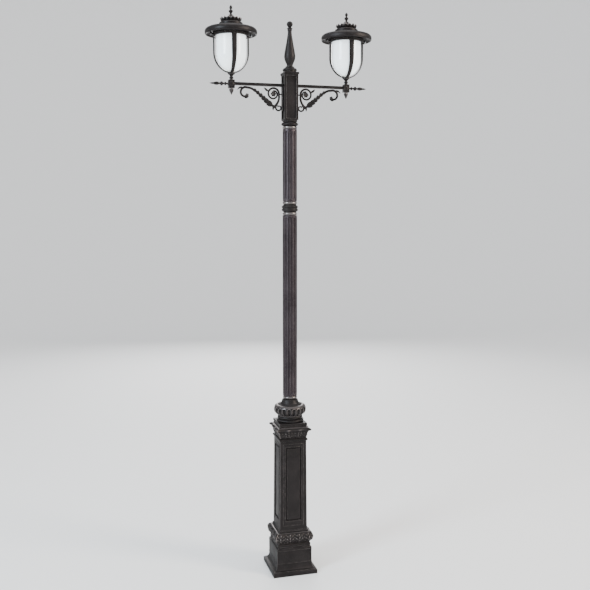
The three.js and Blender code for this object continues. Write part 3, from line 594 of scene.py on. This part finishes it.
def capital():
    """A foot ring, a frieze of leaves that curl out over its crest, and a square plate."""
    foot = [(98, 1208.3), (122, 1208.3)] + arc(122, 1220, 7, -75, 75, 8, 1.5)
    foot += [(120, 1232), (113, 1236), (98, 1236)]
    solid("capital_foot", square(foot), "post", nodes=["capital"], loop=True, edges=0.6)

    leaves = 3
    tip_reach = 10
    frieze_steps = 40
    frieze = bezier((115, 1234), (115, 1270), (119, 1296), (145, 1309), frieze_steps)
    rim = bezier((145, 1309), (148, 1314), (147, 1322), (133, 1329), 10)[1:]
    profile = [(95, 1234)] + frieze + rim + [(95, 1329)]
    last = len(profile) - 1
    # Half a leaf's shift puts a tip at each corner.
    relief = leaf_row(leaves, 10, 0.5)

    def swell(across, share):
        row = share * last
        place = (across + 1) / 2 * leaves
        tip = math.cos(math.pi * (place - round(place))) ** 6
        up = min(1.0, max(0.0, (row - 1) / frieze_steps))
        fade = smooth_step((last - row) / 8)
        return relief(across, up) + tip_reach * tip * smooth_step((up - 0.7) / 0.27) * fade

    solid("capital_leaves", square(profile, LEAF_STEPS, swell), "post", nodes=["capital"], loop=True,
          sharp=LEAF_SHARP_ANGLE, finish="relief_iron")

    plate = [(95, 1327), (128, 1331), (121, 1337), (119, 1343), (121, 1347), (125, 1348.5)]
    plate += [(125, 1364), (124, 1368), (121, 1370), (60, 1370), (60, 1356)]
    solid("capital_plate", square(plate), "post", nodes=["capital"], loop=True, edges=0.8)


# ---------------------------------------------------------------- round column

def capital_rings():
    rings = [(92, 1370.3), (116, 1370.3)] + arc(113.5, 1382.3, 8, -90, 90, 10, 1.45)
    rings += [(107, 1395)] + arc(102.5, 1408, 8, -80, 80, 10, 1.4)
    rings += [(104, 1423), (103, 1425), (92, 1425)]
    solid("capital_ring_casting", turn(rings), "post", nodes=["capital_rings"], loop=True)


def gadroon_collar():
    """A bellied collar with round-ended hollows and a ridge between each two."""
    gadroons = 20
    hollow_depth = 13.0
    ridge_height = 2.2
    foot = [(80, 1425.3), (108, 1425.3), (112, 1427), (113, 1431)]
    belly = bezier((114, 1433), (134, 1438), (150, 1472), (139, 1500), 44)
    lip = [(137.5, 1503), (136, 1508), (131, 1513.5), (122, 1518.5), (116, 1520), (108, 1519)]
    lip += [(103.5, 1512), (80, 1512)]
    first, last = len(foot), len(foot) + len(belly) - 1

    def flute(angle, row, r, z):
        if row < first or row > last:
            return r, z
        up = (row - first) / (last - first)
        pitch = 2 * math.pi / gadroons
        # 0 in the middle of a hollow, and 1 on the ridge between two.
        across = abs((angle / pitch + 0.5) % 1 - 0.5) * 2
        half = 0.74 - 0.22 * (1 - up)
        # The hollow's round ends begin where this leaves 0.
        reach = max(abs(up - 0.52) - 0.34, 0) / 0.14
        inside = 1 - (across / half) ** 2 - reach ** 2
        hollow = math.sqrt(inside) if inside > 0 else 0
        ridge = smooth_step((across - half) / (1 - half)) * ridge_height * math.sin(math.pi * up)
        return r - hollow_depth * hollow + ridge, z

    rings = turn(foot + belly + lip, gadroons * 20, flute)
    solid("gadroon_casting", rings, "post", nodes=["gadroon_collar"], loop=True, sharp=50,
          finish="relief_iron")


def bell_collar():
    bell = [(39, 1512.3), (98, 1512.3), (99.5, 1515), (99.5, 1519), (97, 1522.5)]
    bell += bezier((93, 1524), (76, 1532), (74, 1552), (70, 1562), 14)
    bell += [(67, 1566), (61, 1569.5), (54, 1571), (54, 1600), (39, 1600)]
    solid("bell_casting", turn(bell), "post", nodes=["bell_collar"], loop=True)
    astragal("bell_astragal", "bell_collar", 1571.5, 1599.5)


def astragal(name, node, low, high):
    """A half-round ring, painted lighter than the castings round it as a painted highlight."""
    radius = 64
    middle, half = (low + high) / 2, (high - low) / 2
    profile = arc(radius - half * 0.8, middle, half * 0.8, -85, 85, 14, 1.2)
    profile += [(53, high - 1), (53, low + 1)]
    solid(name, turn(profile), "post", nodes=[node], loop=True, finish="painted_highlight_iron")


def shaft(name, node, radius):
    """A fluted tube whose flutes stop in round ends short of the collars."""
    (_, _, low), (_, _, high) = corners_of(node)
    flutes = 16
    flute_radius = 8.5
    plain_end = 16
    wall = 12
    pitch = 2 * math.pi * radius / flutes
    # Where the points are across a flute, in its radii, closer together at its steep edges.
    places = [-1.0, -0.985, -0.9, -0.7, -0.36, 0.0, 0.36, 0.7, 0.9, 0.985, 1.0]
    offsets = [p * flute_radius for p in places] + [pitch / 2]
    around = [(offset, (i * pitch + offset) / radius) for i in range(flutes) for offset in offsets]

    bottom_centre, top_centre = low + plain_end + flute_radius, high - plain_end - flute_radius
    stop = [flute_radius * math.sin(math.pi / 2 * i / 7) for i in range(7, -1, -1)]
    heights = [low, low + 4] + [bottom_centre - s for s in stop]
    heights += [top_centre + s for s in reversed(stop)] + [high - 4, high]
    rings = []
    for z in heights:
        beyond = max(bottom_centre - z, z - top_centre, 0)
        ring = []
        for offset, angle in around:
            depth = math.sqrt(max(0.0, flute_radius ** 2 - offset ** 2 - beyond ** 2))
            ring.append(((radius - depth) * math.cos(angle), (radius - depth) * math.sin(angle), z))
        rings.append(ring)
    inner = radius - wall
    for z in (high, low):
        rings.append([(inner * math.cos(angle), inner * math.sin(angle), z) for _, angle in around])
    solid(name, rings, "post", slot="fluted_iron", nodes=[node], loop=True, sharp=32)


def mid_collar():
    collar = [(39, 3200.3), (54, 3200.3), (54, 3228), (58, 3231), (66, 3236)]
    collar += arc(62, 3247.5, 9.5, -75, 75, 10, 1.1) + [(64, 3259.5)]
    collar += arc(62, 3271.5, 9.5, -75, 75, 10, 1.1)
    collar += [(66, 3283), (58, 3290), (54, 3293), (54, 3321), (39, 3321)]
    solid("mid_collar_casting", turn(collar), "post", nodes=["mid_collar"], loop=True)
    astragal("mid_astragal_lower", "mid_collar", 3201, 3228)
    astragal("mid_astragal_upper", "mid_collar", 3293.5, 3320.5)


def neck_ring():
    neck = [(39, 3938.3), (54, 3938.3), (54, 3964), (60, 3967), (66, 3970)]
    neck += arc(64.5, 3981.5, 9.5, -70, 70, 10, 1.05) + [(66, 3993), (61, 3996), (59, 3999), (61, 4003)]
    neck += arc(62, 4008, 5, -40, 60, 6) + [(61, 4015), (39, 4015)]
    solid("neck_ring_casting", turn(neck), "post", nodes=["neck_ring"], loop=True)
    astragal("neck_astragal", "neck_ring", 3939, 3964.5)


def column():
    shaft("lower_shaft_casting", "lower_shaft", 63.5)
    shaft("upper_shaft_casting", "upper_shaft", 62.0)
    mid_collar()
    neck_ring()
    core_tube()


def core_tube():
    """The steel pole that the castings are threaded over."""
    wall = 4
    (_, _, low), (radius, _, high) = corners_of("core_tube")
    tube = [(radius - wall, low), (radius, low), (radius, high), (radius - wall, high)]
    solid("core_tube_steel", turn(tube, 48), "post", "steel", ["core_tube"], loop=True)


# ---------------------------------------------------------------- head

def head():
    own_finish("head_box", "cast_iron", 1.2)
    for quarter, side in enumerate(FACES):
        # The brackets stand on the other two faces.
        if side in ("front", "rear"):
            head_bead(f"head_bead_{side}", quarter)

    plate = [(0, 4397.3), (62, 4397.3), (65, 4399), (67, 4402), (67, 4412), (65.5, 4415.5)]
    plate += [(62, 4417), (0, 4417)]
    solid("head_plate", square(plate, 8), "post", nodes=["head_cap"], edges=0.6)
    disc = [(0, 4416), (50, 4416), (51, 4421), (56, 4425)] + arc(52, 4438, 9.5, -65, 65, 10, 1.25)
    disc += [(51, 4452), (44, 4456), (40, 4458), (0, 4458)]
    solid("head_disc", turn(disc), "post", nodes=["head_cap"])


def head_bead(name, quarter):
    """A bead round the recessed panel in one face of the head."""
    def place(x, out, z):
        return (*quarter_turned(x, -(HEAD_HALF + out), quarter), z)

    frame_round(name, half_round(4, 2.0, -1.5), 42.5, 4028, 4386, place)


def spire():
    """A turned baluster that ends in a ball."""
    profile = [(0, 4458.3), (37, 4458.3), (38, 4461), (37, 4465), (30, 4469), (26, 4475), (26.5, 4481)]
    profile += bezier((28, 4487), (38, 4505), (48.5, 4530), (48.5, 4551), 18)
    profile += bezier((48.5, 4552), (48, 4575), (36, 4630), (31, 4657), 14)[1:]
    profile += bezier((31, 4657), (26, 4690), (19, 4725), (16.5, 4757), 12)[1:]
    profile += [(17.5, 4763), (20, 4770), (18, 4776)]
    profile += arc(18, 4784, 5.5, -60, 70, 8, 1.1) + [(16, 4793)]
    profile += arc(0, 4820, 26, -64, 90, 22)
    solid("spire_casting", turn(profile, 80), "post", nodes=["spire"])


# ---------------------------------------------------------------- arms

def arm(name, side):
    """An arm, the block at its end with what hangs on it, and the bracket under it."""
    own_finish(f"{name}_arm", "cast_iron", 2.0, 3)
    own_finish(f"{name}_end_block", "cast_iron", 2.5, 3)
    for i, y in enumerate((-BLOCK_HALF, BLOCK_HALF)):
        flower(f"{name}_block_rosette_{i + 1}", LANTERN_X, y, 4302.5, 19, 3.2, side, 8)
    end_finial(name, side)
    pendant(name, side)
    bracket(name, side)


def end_finial(name, side):
    """A turned finial on the block's outer face: beads that shrink towards the tip."""
    beads = [(0, 0.3), (13, 0.3), (14, 2), (13, 5), (8, 8), (6.5, 12)]
    beads += arc(0, 26, 14, -62, 62, 12, 0.85) + [(6.5, 40), (9, 44), (9.5, 46), (8, 48)]
    beads += arc(2, 59, 16, -66, 66, 12, 0.8) + [(7.5, 74), (10, 77), (8, 80)]
    beads += bezier((9, 83), (17, 92), (15, 108), (9, 126), 12) + [(6.5, 128)]
    beads += bezier((7.5, 131), (8.5, 140), (4, 152), (0, 164), 10)
    rings = moved(along_x(turn(beads, 40)), LANTERN_X + BLOCK_HALF, 0, ARM_Z - 3)
    solid(f"{name}_finial_casting", rings, "post", nodes=[f"{name}_end_finial"], side=side)


def pendant(name, side):
    """A drop under the block, cut into eight petals."""
    drop = [(0, 4213)] + bezier((3, 4215), (8, 4228), (19, 4244), (20, 4257), 14)
    drop += [(19, 4261), (13, 4263.5), (12, 4265), (15, 4266.5), (15, 4268.7), (0, 4268.7)]

    def petals(angle, row, r, z):
        cut = 0.13 * abs(math.sin(4 * angle)) if z < 4258 else 0
        return r * (1 - cut), z

    solid(f"{name}_pendant_casting", turn(drop, 64, petals), "post", nodes=[f"{name}_pendant"],
          shift=LANTERN_X * side, finish="relief_iron")


def bracket(name, side):
    """Scrolls under the arm, drawn outwards from the head's face and down from the arm's axis."""
    depth = 18
    node = f"{name}_scroll_bracket"

    def piece(label, rings):
        rings = moved(rings, HEAD_HALF, 0, ARM_Z)
        solid(f"{name}_bracket_{label}", rings, "post", nodes=[node], side=side)

    def leaf(label, points, width, thick):
        """A plump leaf on a curve through four control points, pointed at both ends."""
        def across(share):
            return 1.2 + width * math.sin(math.pi * min(1, share * 0.93 + 0.07)) ** 0.8

        def through(share):
            return 2 + (thick - 2) * math.sin(math.pi * (0.15 + 0.8 * share))

        piece(label, sweep(bezier(*points, 16), across, through))

    tail = bezier((78, -181), (50, -160), (33, -130), (34.5, -86), 14)
    volute = tail[:-1] + spiral(84, -73, 195, 470, 49, 24, 60)
    piece("volute", sweep(volute, lambda share: 20 - 7 * share, lambda share: depth - 3 * share))
    stem = bezier((60, -186), (150, -162), (215, -40), (302, -28), 26)
    curl = stem[:-1] + spiral(328, -70, 103, 232, 44, 27, 26)
    piece("stem", sweep(curl, lambda share: 22 - 4 * share, lambda share: depth + 3 - 4 * share))
    foot = spiral(38, -188, 65, 400, 27, 8, 30)
    piece("foot_curl", sweep(foot, lambda share: 17 - 6 * share, lambda share: depth - 3 * share))
    low, high = (HEAD_HALF - 7.6, -9, ARM_Z - 215), (HEAD_HALF + 7, 9, ARM_Z - 13.2)
    bar(f"{name}_bracket_lug", low, high, "post", [node], edges=2.5, side=side)
    low, high = (HEAD_HALF + 5, -7, ARM_Z - 82), (HEAD_HALF + 31, 7, ARM_Z - 71)
    bar(f"{name}_bracket_tie", low, high, "post", [node], edges=2.5, side=side)

    # Single leaves on the volute, the curl and the foot.
    leaf("bud_top", ((128, -50), (140, -48), (150, -38), (168, -22)), 18, 14)
    leaf("bud_link", ((343, -34), (360, -24), (382, -26), (398, -50)), 15, 12)
    leaf("bud_foot", ((70, -178), (84, -182), (90, -192), (86, -213)), 18, 14)
    leaf("bud_curl", ((340, -104), (330, -114), (310, -112), (298, -94)), 17, 14)
    # Husks along the stem: each pair leaves it at a slant and turns its tips outwards.
    for i, at in enumerate((4, 7, 10, 13, 16, 19)):
        x, z = stem[at]
        dx, dz = stem[at + 1][0] - stem[at - 1][0], stem[at + 1][1] - stem[at - 1][1]
        tx, tz = dx / math.hypot(dx, dz), dz / math.hypot(dx, dz)
        grow = 1.2 - 0.1 * i
        for way, up in (("up", 1), ("down", -0.85)):
            points = []
            for along, out in ((-8, 1), (12, 12), (26, 12), (36, 20)):
                along, out = along * grow, out * up * grow
                points.append((x + along * tx - out * tz, z + along * tz + out * tx))
            leaf(f"husk_{way}_{i + 1}", points, 18 * grow, 14)
    flower(f"{name}_bracket_rosette", HEAD_HALF + 84, 0, ARM_Z - 73, 24, 10.5, side, 6)
    flower(f"{name}_bracket_bud", HEAD_HALF + 314, 0, ARM_Z - 92, 16, 10.5, side, 5)


# ---------------------------------------------------------------- lanterns

def casting(name, label, rings, node, body="post", slot="cast_iron", **options):
    """A piece of one lantern, drawn about the lantern's own axis and moved to its place."""
    centre = LANTERN_X * SIDES[name]
    solid(f"{name}_{label}", rings, body, slot, [f"{name}_{node}"], shift=centre, **options)


def lantern(name):
    cup(name)
    cage(name)
    globe(name)
    gallery(name)
    gasket(name)
    roof(name)
    crown(name)
    roof_finial(name)
    hinge_pin(name)
    thumbscrew(name)
    lamp(name)


def cup(name):
    """The neck on the end block, which flares to carry the cage's boss."""
    profile = [(8, 4336.3), (16, 4336.3), (17, 4338), (16.5, 4341), (12, 4344), (11, 4347)]
    profile += arc(7, 4354, 11, -45, 45, 8, 0.9) + [(12, 4363.5), (13, 4366)]
    profile += bezier((13, 4367), (15, 4378), (24, 4381), (31, 4385), 10) + [(31, 4388.5), (8, 4388.8)]
    casting(name, "cup_casting", turn(profile, 56), "cup", loop=True)


def cage(name):
    """Four straps with a ridge down the middle, and the boss that they grow from."""
    straps = 4
    radius = 148
    ridge = [(1.0, 0.0), (0.62, 0.45), (0.5, 0.82), (0.25, 1.0), (-0.7, 1.0), (-1.0, 0.9), (-1.0, 0.0)]
    section = ridge + [(a, -b) for a, b in reversed(ridge[1:-1])]
    line = []
    low = math.asin(30 / radius)
    for i in range(31):
        angle = low + (math.pi / 2 - low) * i / 30
        line.append((radius * math.sin(angle), 4560 - 166.5 * math.cos(angle)))
    line += [(radius, z) for z in (4600, 4650, 4684, 4693.6)]

    strap = sweep(line, lambda share: -9, lambda share: 26 + 18 * share, section)
    # A small foot where each strap meets the gallery ring.
    outline = ((140, -22), (151.5, -22), (151.5, 22), (140, 22))
    foot = [[(x, y, z) for x, y in outline] for z in (4685, 4693.7)]

    def turned(rings, quarters):
        return [[(*quarter_turned(x, y, quarters), z) for x, y, z in ring] for ring in rings]

    for i in range(straps):
        casting(name, f"cage_strap_{i + 1}", turned(strap, i), "cage", sharp=30)
        casting(name, f"cage_foot_{i + 1}", turned(foot, i), "cage", edges=1.5)
    boss = [(10, 4389.3), (32, 4389.3), (33, 4391), (33, 4395), (31, 4398), (27, 4399), (10, 4399)]
    casting(name, "cage_boss", turn(boss, 64), "cage", loop=True)


def globe(name):
    """An opal bell with an open mouth, whose open foot stands on the lamp holder's flange."""
    radius = 126
    wall = 4
    foot_radius = 36
    outside = []
    low = math.asin(foot_radius / radius)
    for i in range(27):
        angle = low + (math.pi / 2 - low) * i / 26
        outside.append((radius * math.sin(angle), 4548 - 143 * math.cos(angle)))
    inside = [(r - wall, z + wall / 2) for r, z in reversed(outside)]
    mouth = [(126, 4600), (126, 4650), (126, 4709), (125, 4710), (123, 4710), (122, 4709), (122, 4600)]
    casting(name, "globe_opal", turn(outside + mouth + inside, 112), "globe", slot="opal", loop=True)


def hinge_ring(half_length, y):
    """A short tube on the lid's hinge axis, with its middle at y."""
    profile = [(3, -half_length), (6, -half_length), (6, half_length), (3, half_length)]
    return moved(along_y(turn(profile, 32)), LID_HINGE_X, y, LID_HINGE_Z)


def gallery(name):
    """The ring that the cage's straps carry, with its half of the lid's hinge."""
    centre = LANTERN_X * SIDES[name]
    ring = [(127, 4694), (147, 4694), (150, 4695.5), (151, 4698), (151, 4703), (149, 4705), (149, 4708)]
    ring += [(151, 4710), (151, 4716.5), (150, 4717.6), (127, 4717.6)]
    casting(name, "gallery_casting", turn(ring, 112), "gallery", loop=True)
    bar(f"{name}_hinge_arm", (LID_HINGE_X, -7.5, 4698), (-147, 7.5, 4710), "post", [f"{name}_gallery"],
        edges=1.2, shift=centre)
    casting(name, "hinge_eye", hinge_ring(7.5, 0), "gallery", loop=True)


def gasket(name):
    """A rubber ring on the globe's rim, inside the gallery."""
    seal = [(118, 4710.3), (126, 4710.3), (126, 4717), (118, 4717)]
    casting(name, "gasket_rubber", turn(seal, 96), "gasket", slot="rubber", loop=True, edges=0.8)


def roof(name):
    """A broad brim with a rolled edge and a stepped collar, two hinge ears and the screw's lug."""
    centre = LANTERN_X * SIDES[name]
    lid = f"{name}_lid"
    node = f"{name}_roof"
    under = [(0, 4774), (60, 4772), (90, 4765), (112, 4742), (126, 4722), (132, 4718), (198, 4718)]
    under += [(203, 4716), (205.5, 4712), (206.5, 4708)] + arc(212, 4711.5, 5.5, -120, -20, 6)
    brim = bezier((218.5, 4713), (221, 4722), (221, 4736), (214, 4746), 12)
    brim += bezier((214, 4746), (203, 4761), (178, 4763), (150, 4767), 14)[1:]
    collar = [(128, 4771), (112, 4775.5), (104, 4779), (100.5, 4783), (99.5, 4788), (100.5, 4793)]
    collar += [(100, 4798), (97, 4801.5), (90, 4804), (0, 4804)]
    casting(name, "roof_casting", turn(under + brim + collar, 128), "roof", lid)
    for i, y in enumerate((-11.5, 11.5)):
        low, high = (LID_HINGE_X - 6, y - 3, 4704), (LID_HINGE_X + 6, y + 3, 4720)
        bar(f"{name}_roof_ear_{i + 1}", low, high, lid, [node], edges=0.8, shift=centre)
        casting(name, f"roof_boss_{i + 1}", hinge_ring(3, y), "roof", lid, loop=True)
    bar(f"{name}_roof_lug", (160, -8, 4696), (168, 8, 4720), lid, [node], edges=1.2, shift=centre)


def crown(name):
    """An open coronet of sixteen upright petals round a low dome."""
    profile = [(0, 4804.3), (74, 4804.3), (77, 4806), (78, 4809)]
    profile += bezier((78, 4811), (82, 4816), (91, 4824), (92, 4841), 14)
    profile += [(90, 4843), (87, 4841)] + bezier((86, 4839), (84, 4828), (80, 4826), (74, 4826), 6)
    profile += bezier((72, 4827), (62, 4842), (44, 4846), (26, 4856), 14)
    profile += [(24, 4861), (22, 4863), (0, 4863)]

    def petals(angle, row, r, z):
        # Deep notches part the petals, and the rim draws in at each of them.
        if r < 77:
            return r, z
        notch = abs(math.sin(8 * angle)) ** 4
        rise = smooth_step((z - 4812) / 24)
        return r * (1 - 0.06 * notch * rise), z - 15 * notch * rise

    casting(name, "crown_casting", turn(profile, 192, petals), "crown", f"{name}_lid",
            sharp=50, finish="relief_iron")


def roof_finial(name):
    knob = [(0, 4863.3), (19, 4863.3), (20, 4865), (18, 4868), (11, 4871), (8.4, 4875), (8.5, 4880)]
    knob += [(10, 4883)] + arc(0, 4897, 18, -44, 44, 14, 0.75) + [(8, 4910), (6, 4913)]
    knob += bezier((7, 4915), (14, 4919), (14.5, 4934), (6, 4943), 12) + [(3, 4946.5), (0, 4948)]
    casting(name, "finial_casting", turn(knob, 48), "roof_finial", f"{name}_lid")


def hinge_pin(name):
    pin = [(0, -16.5), (4, -16.5), (4.2, -15), (2.6, -14.7), (2.6, 14.7), (4.2, 15), (4, 16.5), (0, 16.5)]
    rings = moved(along_y(turn(pin, 24)), LID_HINGE_X, 0, LID_HINGE_Z)
    casting(name, "pin_steel", rings, "hinge_pin", slot="steel")


def thumbscrew(name):
    """A knurled screw through the roof's lug, on the side away from the hinge."""
    screw = [(0, 152), (2.4, 152), (3, 153), (3, 169), (9, 169), (10, 170), (10, 179), (9, 180)]
    screw += [(4, 180), (4, 178.5), (0, 178.5)]

    def knurl(angle, row, r, z):
        cut = 0.06 * abs(math.sin(9 * angle)) if r > 8 else 0
        return r * (1 - cut), z

    rings = moved(along_x(turn(screw, 72, knurl)), 0, 0, LID_HINGE_Z)
    casting(name, "screw_steel", rings, "thumbscrew", f"{name}_lid_screw", "steel")


def lamp(name):
    """A porcelain holder with a frosted bulb standing in it."""
    holder = [(5, 4399.3), (25, 4399.3), (26, 4401), (26, 4405), (38, 4407.5), (39, 4409), (38.5, 4410.5)]
    holder += [(24, 4410.6), (22, 4413), (22, 4446), (21, 4448), (15.5, 4448), (14.5, 4447)]
    holder += [(14.5, 4416), (5, 4416)]
    casting(name, "holder_porcelain", turn(holder, 48), "lamp_holder", slot="porcelain", loop=True)
    bulb = [(0, 4418), (12, 4419), (13.5, 4421), (13.5, 4450)]
    bulb += bezier((14, 4452), (18, 4474), (35, 4478), (35, 4512), 14)
    bulb += bezier((35, 4512), (35, 4536), (18, 4556), (0, 4556), 14)[1:]
    casting(name, "bulb_frosted", turn(bulb, 48), "bulb", slot="lamp_glass")


# ---------------------------------------------------------------- small fittings

def fittings():
    """Pieces that stay as the CAD has them, with rounded edges."""
    for node in ["anchor_plate", "door_lock", "spire_stud"] + [f"anchor_bolt_{i}" for i in range(1, 5)]:
        own_finish(node, "steel", 0.8)
    own_finish("fuse_box", "grey_plastic", 0.8)
    own_finish("door_pintle_lower", "cast_iron", 0.8)
    own_finish("door_pintle_upper", "cast_iron", 0.8)


# ---------------------------------------------------------------- studio

def studio_floor():
    """A pale floor that curves up into a round wall, wide enough to hold a camera on any side."""
    segments = 96
    pale = 0.76
    # The profile is in metres, as (radius, height).
    profile = [(0.001, 0), (6, 0), (13, 0)] + arc(13, 7, 7, -90, 0, 24)[1:] + [(20, 12)]
    shape = bmesh.new()
    rows = []
    for radius, height in profile:
        turns = (2 * math.pi * i / segments for i in range(segments))
        rows.append([shape.verts.new((radius * math.cos(a), radius * math.sin(a), height)) for a in turns])
    for low, high in zip(rows, rows[1:]):
        for i in range(segments):
            k = (i + 1) % segments
            shape.faces.new((low[i], low[k], high[k], high[i]))
    shape.faces.new(rows[0])
    floor_mesh = bpy.data.meshes.new("floor")
    bmesh.ops.recalc_face_normals(shape, faces=shape.faces)
    shape.to_mesh(floor_mesh)
    shape.free()
    floor_mesh.shade_smooth()
    floor = bpy.data.objects.new("floor", floor_mesh)
    bpy.context.collection.objects.link(floor)
    finish = bpy.data.materials.new("floor_pale")
    finish.use_nodes = True
    shader = finish.node_tree.nodes["Principled BSDF"]
    shader.inputs["Base Color"].default_value = (pale, pale, pale, 1)
    shader.inputs["Roughness"].default_value = 0.75
    shader.inputs["Specular IOR Level"].default_value = 0.2
    floor.data.materials.append(finish)


def surroundings():
    """An even, faintly blue light from all round."""
    world = bpy.data.worlds.new("studio")
    bpy.context.scene.world = world
    world.use_nodes = True
    background = world.node_tree.nodes["Background"]
    background.inputs["Color"].default_value = (0.72, 0.73, 0.75, 1)
    background.inputs["Strength"].default_value = 1.45


def softbox(name, place, aim, width, height, power, colour):
    """A rectangular light that the camera doesn't see, in metres and watts."""
    light = bpy.data.lights.new(name, "AREA")
    light.shape = "RECTANGLE"
    light.size = width
    light.size_y = height
    light.energy = power
    light.color = colour
    lamp_object = bpy.data.objects.new(name, light)
    bpy.context.collection.objects.link(lamp_object)
    lamp_object.visible_camera = False
    lamp_object.location = place
    lamp_object.rotation_mode = "QUATERNION"
    lamp_object.rotation_quaternion = (Vector(aim) - Vector(place)).to_track_quat("-Z", "Y")


def softboxes():
    """Cool light from the left, warm from the right as in the photograph, white behind and above."""
    cool, warm, white = (0.76, 0.9, 1.0), (1.0, 0.9, 0.78), (1.0, 1.0, 1.0)
    middle = (0, 0, 2.8)
    softbox("left_box", (-9.6, -4.8, 7.5), middle, 3.0, 6.5, 1650, cool)
    softbox("right_box", (9.0, -6.2, 7.5), middle, 3.0, 6.5, 1550, warm)
    softbox("rear_box", (2.0, 11.0, 6.0), middle, 5.0, 6.0, 900, white)
    softbox("top_box", (0, 0, 10.5), (0, 0, 3), 6.0, 6.0, 420, white)


def photo_camera():
    """The photograph's view. The place is in metres, and the lens and sensor in millimetres."""
    place = (-1.829, -6.874, 3.262)
    direction = (0.26176, 0.95923, -0.1066)
    camera = bpy.data.objects.new("camera", bpy.data.cameras.new("camera"))
    bpy.context.collection.objects.link(camera)
    camera.data.sensor_width = 36
    camera.data.lens = 49.43
    camera.location = place
    camera.rotation_mode = "QUATERNION"
    camera.rotation_quaternion = Vector(direction).to_track_quat("-Z", "Y")
    bpy.context.scene.camera = camera


# ---------------------------------------------------------------- the object

plinth()
leaf_band()
pedestal()
rear_door()
capital()
capital_rings()
gadroon_collar()
bell_collar()
column()
head()
spire()
fittings()
for side_name, side_sign in SIDES.items():
    arm(side_name, side_sign)
    lantern(side_name)
studio_floor()
surroundings()
softboxes()
photo_camera()
